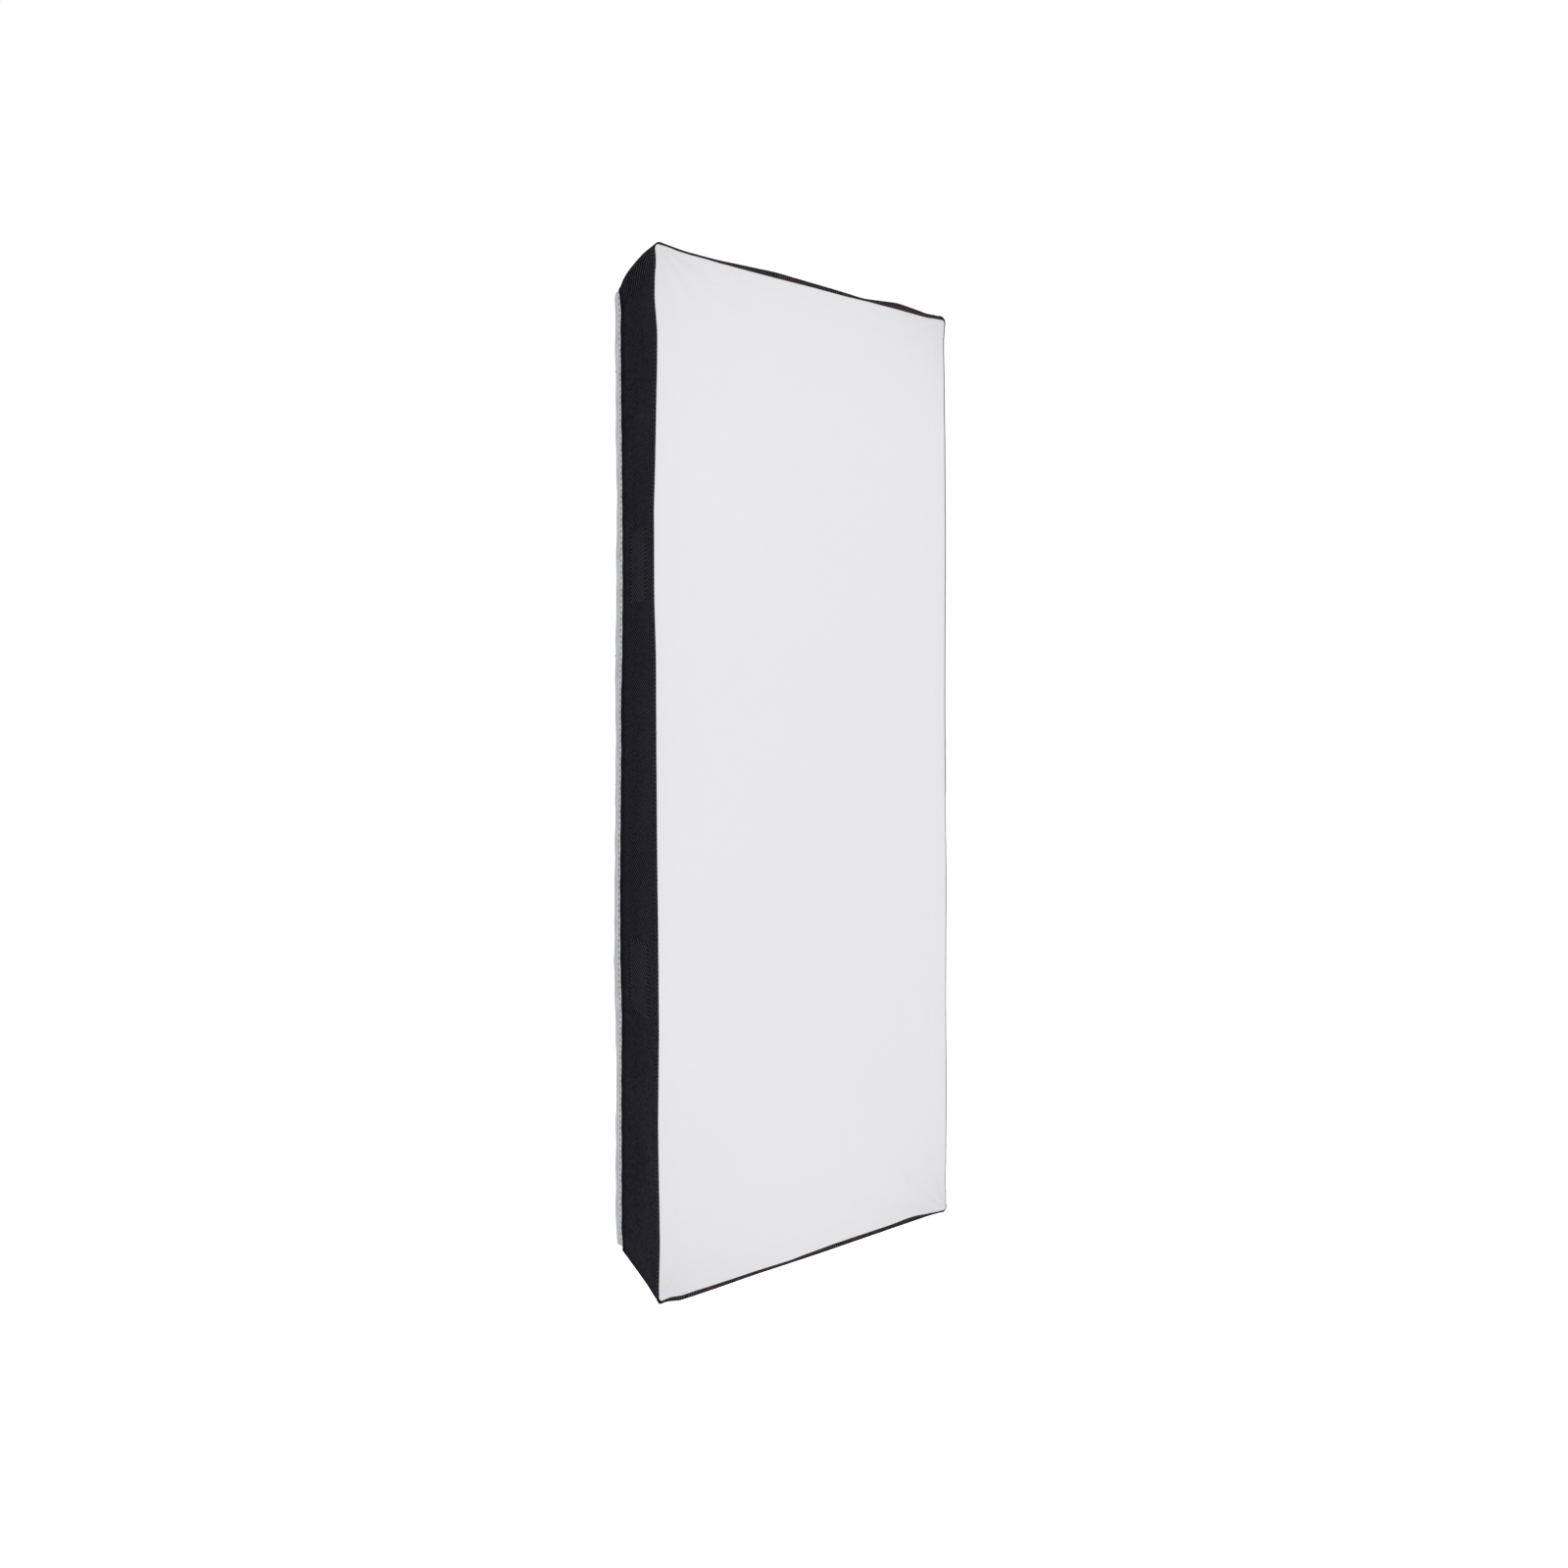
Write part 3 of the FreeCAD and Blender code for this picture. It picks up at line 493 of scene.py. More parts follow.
def makeNap(name, low, high, tint, scale=700.0, seamAt=None):
    # napped loop or hook tape: two noises for the pile and for clumps in it; paler beside the wall, with a row
    # of dark stitch holes carrying painted shadow of the dimples round each stitch: sin(2 pi along / pitch) on
    # the seam line
    material, tree, shader = newMaterial(name)
    where = objectPlace(tree)
    pile = noiseAt(tree, where, scale, 4.0, 0.7)
    clumps = noiseAt(tree, where, scale / 9, 3.0)
    height = timesPlus(tree, clumps, 0.6, pile)
    base = mixColour(tree, mapRange(tree, height, 0.55, 1.05, 0, 1), colour(low, tint), colour(high, tint))
    if seamAt is not None:
        depth = splitPlace(tree, where)[1]
        beside = mapRange(tree, depth, seamAt + 3.2 * mm, seamAt + 4.4 * mm, 0.75, 0.0)
        base = mixColour(tree, beside, base, colour(0.86, tint))
        along = splitPlace(tree, clothPlace(tree))[1]
        # dark stitch holes, partly the holes themselves and partly painted shadow of the dimples the stitches
        # pull in
        holesAndShade = mathNode(tree, "SINE", times(tree, along, 2 * math.pi / tape["pitch"]))
        off = mathNode(tree, "ABSOLUTE", mathNode(tree, "SUBTRACT", depth, seamAt + tape["stitchFrom"]))
        holesAndShade = mapRange(tree, holesAndShade, -0.1, 0.6, 0.0, 0.8)
        holesAndShade = times(tree, holesAndShade, mapRange(tree, off, 0.8 * mm, 1.8 * mm, 1.0, 0.0))
        base = mixColour(tree, holesAndShade, base, colour(0.12, tint))
    feed(tree, shader, {
        "Base Color": base,
        "Roughness": mapRange(tree, pile, 0.3, 0.7, 0.85, 1.0),
        "Specular IOR Level": 0.2,
        "Sheen Weight": 0.25,
        "Normal": bumpNode(tree, height, 0.6, 0.0006),
    })
    return material


# middle and edge tones of the diffusion cloth; the darker, cooler edge tone is painted shade
whiteCloth = {"middle": 0.81, "edge": 0.72, "tint": (1.0, 0.99, 1.01), "edgeTint": (1.0, 0.985, 1.02)}


def makeWhiteCloth(name):
    # white diffusion cloth with painted shade: a little cooler and darker towards its edges, most of all at the
    # corners
    material, tree, shader = newMaterial(name)
    where = objectPlace(tree)
    parts = splitPlace(tree, where)
    acrossEdge = mathNode(tree, "DIVIDE", mathNode(tree, "ABSOLUTE", parts[0]), halfWidth)
    upEdge = mathNode(tree, "SUBTRACT", parts[2], midHeight)
    upEdge = mathNode(tree, "DIVIDE", mathNode(tree, "ABSOLUTE", upEdge), halfHeight)
    # painted shade weight, how near a corner or edge: across^2 up^6 + 0.4 up^12 + 0.2 across^14
    corner = mathNode(tree, "POWER", acrossEdge, 2.0)
    corner = times(tree, corner, mathNode(tree, "POWER", upEdge, 6.0))
    corner = timesPlus(tree, mathNode(tree, "POWER", upEdge, 12.0), 0.4, corner)
    corner = timesPlus(tree, mathNode(tree, "POWER", acrossEdge, 14.0), 0.2, corner)
    slow = noiseAt(tree, where, 9.0, 3.0)
    shade = timesPlus(tree, slow, 0.35, mathNode(tree, "SUBTRACT", corner, 0.17))
    middle = colour(whiteCloth["middle"], whiteCloth["tint"])
    edge = colour(whiteCloth["edge"], whiteCloth["edgeTint"])
    weave = placeGroup(tree, plainGroup, {"pitch": 0.0007})
    feed(tree, shader, {
        "Base Color": mixColour(tree, mapRange(tree, shade, 0.0, 1.3, 0, 1), middle, edge),
        "Roughness": mapRange(tree, slow, 0.3, 0.7, 0.7, 0.82),
        "Specular IOR Level": 0.25,
        "Normal": bumpNode(tree, weave.outputs["Height"], 0.25, 0.00012),
    })
    return material


def makeSilver():
    material, tree, shader = newMaterial("silverLining")
    where = objectPlace(tree)
    creases = noiseAt(tree, where, 38.0, 5.0, 0.6)
    weave = placeGroup(tree, plainGroup, {"pitch": 0.0008})
    base = mixColour(tree, mapRange(tree, creases, 0.3, 0.7, 0, 1), colour(0.50), colour(0.68, (1, 1, 1.01)))
    feed(tree, shader, {
        "Base Color": base,
        "Roughness": mapRange(tree, creases, 0.3, 0.7, 0.32, 0.5),
        "Metallic": 0.75,
    })
    height = timesPlus(tree, weave.outputs["Height"], 0.12, creases)
    tree.links.new(bumpNode(tree, height, 0.35, 0.0016), shader.inputs["Normal"])
    return material


def makeCoated(name, base, rough, grain, metallic=0.0, depth=0.00012, patch=0.25):
    # powder coat, moulded plastic, anodised or plated metal: grain bump and slow patches of tone and gloss
    material, tree, shader = newMaterial(name)
    skin = placeGroup(tree, grainGroup, {"scale": grain, "patches": 45.0})
    dark = colour(base[0] * (1 - patch), (1, base[1], base[2]))
    light = colour(base[0] * (1 + patch), (1, base[1], base[2]))
    feed(tree, shader, {
        "Base Color": mixColour(tree, skin.outputs["Patch"], dark, light),
        "Roughness": mapRange(tree, skin.outputs["Patch"], 0.25, 0.75, rough * 0.85, min(1, rough * 1.15)),
        "Metallic": metallic,
        "Normal": bumpNode(tree, skin.outputs["Height"], 0.5, depth),
    })
    return material


def makeWebbing(name, low, high):
    # ribbed strap: fine ribs across X and Z with cross threads, on Object coordinates
    material, tree, shader = newMaterial(name)
    where = objectPlace(tree)
    turn = {"Vector": where, "Rotation": (0, math.radians(45), 0)}
    turned = addNode(tree, "ShaderNodeMapping", turn).outputs[0]
    along = {"Vector": turned, "Scale": 190.0, "Distortion": 0.6, "Detail": 2.0}
    across = {"Vector": turned, "Scale": 330.0, "Distortion": 0.5}
    rib = addNode(tree, "ShaderNodeTexWave", along).outputs["Fac"]
    cross = addNode(tree, "ShaderNodeTexWave", across, bands_direction="Z").outputs["Fac"]
    height = times(tree, rib, timesPlus(tree, cross, 0.5, 0.5))
    feed(tree, shader, {
        "Base Color": mixColour(tree, height, colour(low), colour(high)),
        "Roughness": mapRange(tree, height, 0.0, 1.0, 0.92, 0.75),
        "Specular IOR Level": 0.25,
        "Normal": bumpNode(tree, height, 0.6, 0.0004),
    })
    return material


def makeThread(name, value, tint=(1, 1, 1)):
    material, tree, shader = newMaterial(name)
    where = objectPlace(tree)
    twist = noiseAt(tree, where, 1800.0, 2.0)
    feed(tree, shader, {
        "Base Color": mixColour(tree, twist, colour(value * 0.75, tint), colour(value * 1.2, tint)),
        "Roughness": mapRange(tree, twist, 0.3, 0.7, 0.5, 0.7),
        "Normal": bumpNode(tree, twist, 0.4, 0.0001),
    })
    return material


materials = {
    "blackCloth": makeBlackCloth("blackTwill", (1.0, 0.96, 1.3)),
    "rimBinding": makeBlackCloth("rimBinding", (1.2, 0.86, 1.0), 1.7),
    "greyTape": makeNap("greyLoopTape", 0.46, 0.70, (0.985, 1.0, 1.03), seamAt=wallBackY),
    "blackTape": makeNap("blackLoopTape", 0.012, 0.035, (1, 1, 1)),
    "whiteTape": makeNap("whiteHookTape", 0.60, 0.82, (1, 1, 1.01), 900.0),
    "whiteCloth": makeWhiteCloth("diffusionCloth"),
    "silver": makeSilver(),
    "webbing": makeWebbing("blackWebbing", 0.008, 0.032),
    "blackThread": makeThread("blackThread", 0.030),
    "greyThread": makeThread("greyThread", 0.22, (1, 1, 1.04)),
    "whiteThread": makeThread("whiteThread", 0.72),
    "plastic": makeCoated("mouldedPlastic", (0.022, 1, 1.02), 0.48, 1500.0),
    "casting": makeCoated("powderCoat", (0.020, 1, 1.02), 0.55, 900.0, depth=0.0002),
    "tubeBlack": makeCoated("blackAnodised", (0.028, 1, 1.05), 0.33, 2600.0, metallic=0.85, depth=0.00003),
    "nickel": makeCoated("nickelPlate", (0.58, 0.98, 0.95), 0.26, 2200.0, 1.0, depth=0.00003, patch=0.08),
    "brass": makeCoated("turnedBrass", (0.66, 0.78, 0.42), 0.3, 1800.0, 1.0, depth=0.00004, patch=0.1),
    "fibreRod": makeCoated("glassFibre", (0.62, 0.97, 0.88), 0.5, 1400.0, patch=0.1),
    "frictionFibre": makeCoated("frictionFibre", (0.22, 0.66, 0.38), 0.8, 700.0, patch=0.25),
}
print("materials:", len(materials))


def finishPiece(obj, body, material, nodes=()):
    obj.data.materials.clear()
    obj.data.materials.append(materials[material])
    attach(obj, body)
    if nodes:
        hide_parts(*nodes)
    return obj


def clothUv(points, cell, across):  # metres across and along the cloth, zero at the middle of its length
    rows, columns = points.shape[:2]
    length = rows * cell
    u, v = np.meshgrid(np.linspace(-0.5, 0.5, rows) * length, np.linspace(0, across, columns), indexing="ij")
    return np.stack([v, u], -1)


hem = {"sides": 22, "power": 0.55, "roll": 2.5 * mm, "sideBack": 2.9 * mm, "teethFrom": 3.4 * mm}
wallDepthFull = wallBackY - frontY


def patchRelief(side, along, y):
    # sewn rectangles of the baffle anchors: the seam is drawn in and the cloth inside stands a little proud
    if side not in longSides:
        return 0.0
    lift = 0.0
    for up in (-1, 1):
        across = np.abs(y - anchorY) - wall["patchDepth"] / 2
        above = np.abs(along - up * wall["anchorHeight"]) - wall["patchHeight"] / 2
        edge = np.maximum(across, above)
        lift = lift - wall["groove"] * hump(edge, 0, 1.5 * mm)
        lift = lift + 0.5 * mm * np.clip(-edge / (3 * mm), 0, 1)
        pucker = 0.16 * mm * np.sin(above / (2.1 * mm)) * np.sin(across / (2.4 * mm))
        lift = lift + pucker * hump(edge, 0, 7 * mm)
    return lift


def seamRelief(side, along, depth):
    # the rim and back seams pull the cloth in along two lines, and the corner seams stand up as a soft ridge
    half = sideLength(side) / 2
    y = depth * wallDepthFull
    rim = -0.35 * mm * hump(y, wall["rimStitchFrom"], 1.3 * mm)
    back = -0.3 * mm * hump(y, wallDepthFull - wall["backStitchFrom"], 1.2 * mm)
    pucker = 0.10 * mm * np.sin(along / (2.7 * mm)) * hump(y, wall["rimStitchFrom"], 5 * mm)
    pucker = pucker + 0.12 * mm * np.sin(along / (3.6 * mm)) * hump(y, wallDepthFull, 6 * mm)
    ridge = 0.5 * mm * hump(np.abs(along), half - 3.0 * mm, 2.2 * mm)
    return rim + back + pucker + ridge


def wallSurface(side, inset, yFrom, yTo, cell, relief=True):
    straight = int(sideLength(side) / cell)
    y = np.linspace(yFrom, yTo, int((yTo - yFrom) / cell) + 1)
    place, normal, along = sideOutline(side, inset, straight)
    yy = y[None, :] + np.zeros((len(place), 1))
    depth = (yy - frontY) / wallDepthFull
    lift = clothLift(side, along[:, None], depth)
    if relief:
        lift = lift + patchRelief(side, along[:, None], yy) + seamRelief(side, along[:, None], depth)
    x, z = place[:, :1] + normal[:, :1] * lift, place[:, 1:] + normal[:, 1:] * lift + midHeight
    return settle(np.stack([x, yy, z], -1)), normal, along, y


def makeWalls():
    for side in sideNames:
        points, normal, along, y = wallSurface(side, 0, hemBackY - 4.2 * mm, wallBackY, wall["cells"])
        uv = clothUv(points, wall["cells"], y[-1] - y[0])
        obj = thicken(makeGrid("wall" + side.capitalize(), points, uv), wall["cloth"], -1)
        finishPiece(obj, "softbox_head", "blackCloth", ["wall_" + side])


def sidePath(side, y):  # a line on the cloth at one depth, with its outward normals
    points, normal, along, _ = wallSurface(side, 0, y, y + 0.1 * mm, 2 * mm)
    return points[:, 0], outward(normal)


def wallLine(side, corners):  # a polyline on a long wall, from (y, along) corners, with its outward normals
    y, a = resample(corners, 160)
    lift = clothLift(side, a, (y - frontY) / wallDepthFull) + patchRelief(side, a, y)
    sign = 1 if side == "right" else -1
    points = settle(np.stack([sign * (halfWidth + lift), y, a + midHeight], -1))
    return points, np.tile([sign, 0.0, 0.0], (len(a), 1))


def makeWallStitching():
    parts = []
    for side in sideNames:
        for y in (frontY + wall["rimStitchFrom"], wallBackY - wall["backStitchFrom"]):
            path, out = sidePath(side, y)
            thick = 0.32 * mm if side in longSides else 0.16 * mm
            parts.append(stitchParts(path, out, wall["stitchPitch"], 2.4 * mm, thick))
        if side in longSides:
            path, out = sidePath(side, frontY + hem["teethFrom"])
            parts.append(stitchParts(path, out, wall["stitchPitch"], 1.5 * mm, 0.55 * mm))
    for side in longSides:
        for up in (-1, 1):
            y0, y1 = anchorY - wall["patchDepth"] / 2, anchorY + wall["patchDepth"] / 2
            a0 = up * wall["anchorHeight"] - wall["patchHeight"] / 2
            a1 = a0 + wall["patchHeight"]
            path, out = wallLine(side, [(y0, a0), (y1, a0), (y1, a1), (y0, a1), (y0, a0)])
            parts.append(stitchParts(path, out, 3.0 * mm, 2.2 * mm, 0.27 * mm))
    obj = joinParts("wallStitching", parts)
    finishPiece(obj, "softbox_head", "blackThread")


makeWalls()
makeWallStitching()
print("walls done")


def makeFrontHem():
    # a rolled edge: superellipse section carried round the outline, as wide as the rim shows at each place
    rings = []
    for side in ("right", "top", "left", "bottom"):
        place, normal, along = sideOutline(side, 0, 220 if side in longSides else 120, 6)
        wide = readCurve(rimWidth[side], along)
        lift = clothLift(side, along, np.zeros_like(along))
        back = hem["sideBack"] if side in longSides else 0.0
        rings.append((place, normal, wide, lift, np.full(len(along), back)))
    joined = [np.concatenate([values[:-1] for values in kind]) for kind in zip(*rings)]
    place, normal, wide, lift, back = joined
    kernel = np.hanning(11)[1:-1] / np.hanning(11).sum()
    wide, back = (np.convolve(np.concatenate([v[-4:], v, v[:4]]), kernel, "valid") for v in (wide, back))
    cx, cy = roundedSquare(hem["sides"], hem["power"])
    reach = lift[:, None] + (cx[None] - 1) * wide[:, None] / 2 + 0.15 * mm
    depth = frontY + hem["roll"] + cy[None] * hem["roll"] + (1 - cy[None]) * back[:, None] / 2
    x = place[:, :1] + normal[:, :1] * reach
    z = place[:, 1:] + normal[:, 1:] * reach + midHeight
    points = settle(np.stack([x, depth, z], -1))
    uv = clothUv(points, 4 * mm, 12 * mm)
    obj = makeGrid("frontHem", points, uv, wrapRows=True, wrapColumns=True, flip=True)
    finishPiece(obj, "softbox_head", "rimBinding", ["front_hem"])


makeFrontHem()

diffuser = {"cell": 2.4 * mm, "cloth": 0.5 * mm, "edgeRoll": 1.8 * mm, "hemLine": 18 * mm, "crown": 0.8 * mm}
diffuserSeatY = nodeBox("front_diffuser")[0][1]
# soft creases of the diffuser: x, z, half width, half height, lift, in mm
creases = ((-118, -110, 3.5, 40, 0.30), (-104, -285, 4.0, 45, 0.28), (-128, 60, 4.5, 50, 0.16),
           (-60, 330, 5.0, 60, 0.14), (122, 250, 4.0, 70, 0.22), (126, -230, 5.0, 60, 0.18),
           (40, -395, 30, 5, 0.18), (-50, 405, 35, 5, 0.16))


def diffuserOut(x, z, halfX, halfZ):
    # how far the cloth stands forward of its seat: a slight crown, tension folds fanning from the corners,
    # soft creases and a hem line
    side, end = halfX - np.abs(x), halfZ - np.abs(z)
    nearest = np.minimum(side, end)
    out = diffuser["crown"] * np.clip(nearest / (60 * mm), 0, 1)
    for sx in (-1, 1):
        for sz in (-1, 1):
            dx, dz = halfX - sx * x, halfZ - sz * z
            reach = np.hypot(dx, dz)
            turn = np.arctan2(dx, dz)
            fan = np.sin(turn * 13 + sx * 1.3 + sz * 0.7 + reach / (60 * mm))
            out = out + 0.32 * mm * fan * hump(reach, 0, 95 * mm) * np.clip(nearest / (6 * mm), 0, 1)
    for cx, cz, wide, tall, high in creases:
        out = out + high * mm * hump(x / mm, cx + 0.004 * z / mm, wide) * hump(z / mm, cz, tall)
    for distance in (side, end):
        line = distance - diffuser["hemLine"]
        out = out - 0.16 * mm * hump(line, 0, 0.9 * mm) + 0.10 * mm * np.clip(-line / (3 * mm), 0, 1)
    roll = np.clip(1 - nearest / diffuser["edgeRoll"], 0, 1)
    return out - diffuser["edgeRoll"] * (1 - np.sqrt(np.clip(1 - roll ** 2, 0, 1)))


def makeDiffuser():
    # grid on a rounded rectangle; its long edges follow the walls' waves, so no gap opens beside the rim
    hemWide = 2.6 * mm
    halfX, halfZ = halfWidth - 0.15 * mm, halfHeight - hemWide + 0.1 * mm
    u = np.linspace(-1, 1, int(2 * halfX / diffuser["cell"]))
    v = np.linspace(-1, 1, int(2 * halfZ / diffuser["cell"]))
    u = np.sign(u) * (1 - (1 - np.abs(u)) ** 1.5)
    v = np.sign(v) * (1 - (1 - np.abs(v)) ** 1.3)
    uu, vv = np.meshgrid(u, v, indexing="ij")
    x, z = uu * halfX, vv * halfZ
    left = clothLift("left", z, np.zeros_like(z))
    right = clothLift("right", z, np.zeros_like(z))
    top = clothLift("top", x, np.zeros_like(x)) - readCurve(rimWidth["top"], x) + hemWide
    bottom = clothLift("bottom", x, np.zeros_like(x)) - readCurve(rimWidth["bottom"], x) + hemWide
    outline = np.where(uu < 0, -left, right) * np.abs(uu) ** 6
    upline = np.where(vv > 0, top, -bottom) * np.abs(vv) ** 12
    round = 4.0 * mm  # corner radius of the cloth
    cutX, cutZ = np.abs(x) - (halfX - round), np.abs(z) - (halfZ - round)
    far = np.hypot(np.maximum(cutX, 0), np.maximum(cutZ, 0))
    inCorner = (cutX > 0) & (cutZ > 0)
    shrink = np.where(inCorner & (far > 1e-9), np.maximum(cutX, cutZ) / np.maximum(far, 1e-9), 1.0)
    px = np.where(inCorner, np.sign(x) * (halfX - round + cutX * shrink), x)
    pz = np.where(inCorner, np.sign(z) * (halfZ - round + cutZ * shrink), z)
    out = diffuserOut(px, pz, halfX, halfZ)
    points = settle(np.stack([px + outline, diffuserSeatY - out, pz + upline + midHeight], -1))
    uv = np.stack([px, pz], -1)
    obj = thicken(makeGrid("frontDiffuser", points, uv, flip=True), diffuser["cloth"], -1)
    finishPiece(obj, "diffuser", "whiteCloth", ["front_diffuser"])


def flatBand(halfX, halfZ, width, yFront, yBack):
    # a flat mitred frame of cloth as four closed slabs: rows run along the side, columns round the section
    parts = []
    for side in sideNames:
        long = side in longSides
        reach = halfZ if long else halfX
        sign = 1 if side in ("right", "top") else -1
        t = np.linspace(-1, 1, int(2 * reach / (5 * mm)) + 1)[:, None]
        inward = np.array([0.0, 0.02, 0.5, 0.98, 1.0, 1.0, 0.98, 0.5, 0.02, 0.0])[None] * width
        deep = np.array([0.3, 0.0, 0.0, 0.0, 0.3, 0.7, 1.0, 1.0, 1.0, 0.7])[None]
        a = t * (reach - inward)
        b = sign * ((halfX if long else halfZ) - inward) + 0 * t
        y = yFront + (yBack - yFront) * deep + 0 * t + 0.08 * mm * np.sin(a / (9 * mm))
        points = settle(np.stack([b, y, a + midHeight] if long else [a, y, b + midHeight], -1))
        flip = side in ("right", "bottom")
        quads = gridQuads(points.shape[0], 10, wrapColumns=True, flip=flip)
        last = (points.shape[0] - 1) * 10
        caps = np.array([[0, 1, 2, 9], [2, 3, 6, 7], [3, 4, 5, 6], [2, 7, 8, 9]])
        caps = np.concatenate([caps if flip else caps[:, ::-1], (caps[:, ::-1] if flip else caps) + last])
        parts.append((points.reshape(-1, 3), np.concatenate([quads, caps])))
    return parts


def makeClosure():
    # the cloth return behind the rim, its black loop tape, and the white hook tape behind the diffuser
    flange = ["front_flange_" + side for side in sideNames]
    for name, nodes, wide, slotName, material, body in (
            ("frontFlange", flange, 22 * mm, "black_cloth", "webbing", "softbox_head"),
            ("frontLoopTape", ["front_loop_tape"], 20 * mm, "black_loop_tape", "blackTape", "softbox_head"),
            ("diffuserHookTape", ["diffuser_hook_tape"], 20 * mm, "white_tape", "whiteTape", "diffuser")):
        low, high = nodeBox(nodes[0])
        halfX, halfZ = (-low[0], (high[2] - low[2]) / 2)
        obj = joinParts(name, flatBand(halfX, halfZ, wide, low[1], high[1]))
        finishPiece(obj, body, material, nodes)


makeClosure()
makeDiffuser()
print("front done")

# how far the tape's free edge stands out, in mm, at places along the side
tapeFlare = {
    "left": ([-446, -380, -300, -250, -180, -110, -60, -20, 60, 140, 220, 300, 400, 446],
             [0.9, 1.6, 0.2, 1.4, 2.0, 0.6, 1.2, 0.2, 0.9, 1.9, 0.8, 0.5, 0.7, -0.2]),
    "right": ([-446, -200, 0, 200, 446], [0.4, 1.0, 0.3, 1.2, 0.5]),
    "top": ([-146, -50, 60, 146], [0.4, 1.0, 0.2, 0.5]),
    "bottom": ([-146, -70, 50, 146], [0.5, 0.1, 0.9, 0.4]),
}
tapeInset = halfWidth + tapeLow[0]


def makeRearTape():
    parts = []
    for side in sideNames:
        points, normal, along, y = wallSurface(side, tapeInset, tapeLow[1], tapeBackY, tape["cell"], False)
        behind = np.clip((y - wallBackY) / (tapeBackY - wallBackY), 0, 1)[None]
        flare = readCurve(tapeFlare[side], along) + 0.3 * mm * np.sin(along / (17 * mm) + 2.1)
        wave = flare[:, None] * behind + 0.22 * mm * np.sin(along[:, None] / (6.1 * mm)) * behind ** 2
        seam = -0.3 * mm * hump(y, wallBackY + tape["stitchFrom"], 1.1 * mm)[None]
        pushOut(points, normal, wave + seam)
        uv = clothUv(points, tape["cell"], y[-1] - y[0])
        obj = thicken(makeGrid("rearLoopTape" + side.capitalize(), points, uv), tape["cloth"], -1)
        rounded = obj.modifiers.new("edge", "BEVEL")
        rounded.width, rounded.segments, rounded.limit_method = 0.35 * mm, 2, "ANGLE"
        finishPiece(obj, "softbox_head", "greyTape", ["rear_loop_tape_" + side])
        row = int(np.argmin(np.abs(y - wallBackY - tape["stitchFrom"])))
        parts.append(stitchParts(points[:, row], outward(normal), tape["pitch"], 3.4 * mm, 0.45 * mm))
    finishPiece(joinParts("tapeStitching", parts), "softbox_head", "greyThread")
    ends = []
    for up, length in ((377 * mm, 2.4 * mm), (108 * mm, 3.2 * mm), (-14 * mm, 2.2 * mm)):
        start = np.array([tapeLow[0] - 0.6 * mm, tapeBackY - 1.5 * mm, midHeight + up])
        path = start + np.array([-0.35, 0.75, -0.55]) * np.linspace(0, length, 3)[:, None]
        ends.append(stitchParts(path, np.tile([-1.0, 0.0, 0.0], (3, 1)), length, length * 0.9, 0.32 * mm))
    finishPiece(joinParts("threadEnds", ends), "softbox_head", "blackThread")


makeRearTape()
print("rear tape done")

liningInset = halfWidth - nodeBox("lining_right")[1][0]
lining = {"cell": 3 * mm, "cloth": 0.5 * mm, "crease": 0.25 * mm}
baffle = {"cut": 28 * mm, "sag": 1.6 * mm, "cloth": 0.5 * mm, "hem": 0.012}


def makeLining():
    for side in sideNames:
        low, high = nodeBox("lining_" + side)
        inset, start = liningInset + 0.1 * mm, low[1] + 0.3 * mm
        points, normal, along, y = wallSurface(side, inset, start, high[1], lining["cell"], False)
        a = along[:, None]
        crease = lining["crease"] * np.sin(a / (7 * mm) + 60 * (y[None] - low[1])) * np.sin(a / (41 * mm))
        pushOut(points, normal, -0.2 * mm - np.abs(crease))
        uv = clothUv(points, lining["cell"], y[-1] - y[0])
        obj = thicken(makeGrid("lining" + side.capitalize(), points, uv), lining["cloth"], -1)
        finishPiece(obj, "softbox_head", "silver", ["lining_" + side])


def makeBaffle():
    # white cloth held at four anchors: it sags a little between them, and its corners are cut round the posts
    low, high = nodeBox("inner_baffle")
    halfX, halfZ, cut = high[0], (high[2] - low[2]) / 2, baffle["cut"]

    def sagAt(x, z):  # cos across by cos along, deepest in the middle
        sag = baffle["sag"] * np.cos(math.pi * x / (2 * halfX)) * np.cos(z / (120 * mm))
        return (low[1] + high[1]) / 2 + sag

    u, v = np.meshgrid(np.linspace(-1, 1, 100), np.linspace(-1, 1, 300), indexing="ij")
    z = v * halfZ
    width = halfX - np.clip(np.abs(z) - (halfZ - cut), 0, None)
    x = u * width
    y = sagAt(x, z) + 0.25 * mm * np.sin(z / (19 * mm) + 6 * u) * (1 - u ** 2)
    points, uv = np.stack([x, y, z + midHeight], -1), np.stack([x, z], -1)
    obj = thicken(makeGrid("innerBaffle", points, uv, flip=True), baffle["cloth"], 0)
    finishPiece(obj, "softbox_head", "whiteCloth", ["inner_baffle"])
    nearX, nearZ = halfX - cut, halfZ - cut
    ring = np.array([[-halfX, nearZ], [-nearX, halfZ], [nearX, halfZ], [halfX, nearZ],
                     [halfX, -nearZ], [nearX, -halfZ], [-nearX, -halfZ], [-halfX, -nearZ], [-halfX, nearZ]])
    ex, ez = resample(ring * (1 - baffle["hem"]), 700)
    path = np.stack([ex, sagAt(ex, ez) + 0.2 * mm, ez + midHeight], -1)
    backward = np.tile([0, 1.0, 0], (len(ex), 1))
    stitches = joinParts("baffleStitching", [stitchParts(path, backward, 3.6 * mm, 2.5 * mm, 0.22 * mm)])
    finishPiece(stitches, "softbox_head", "whiteThread")


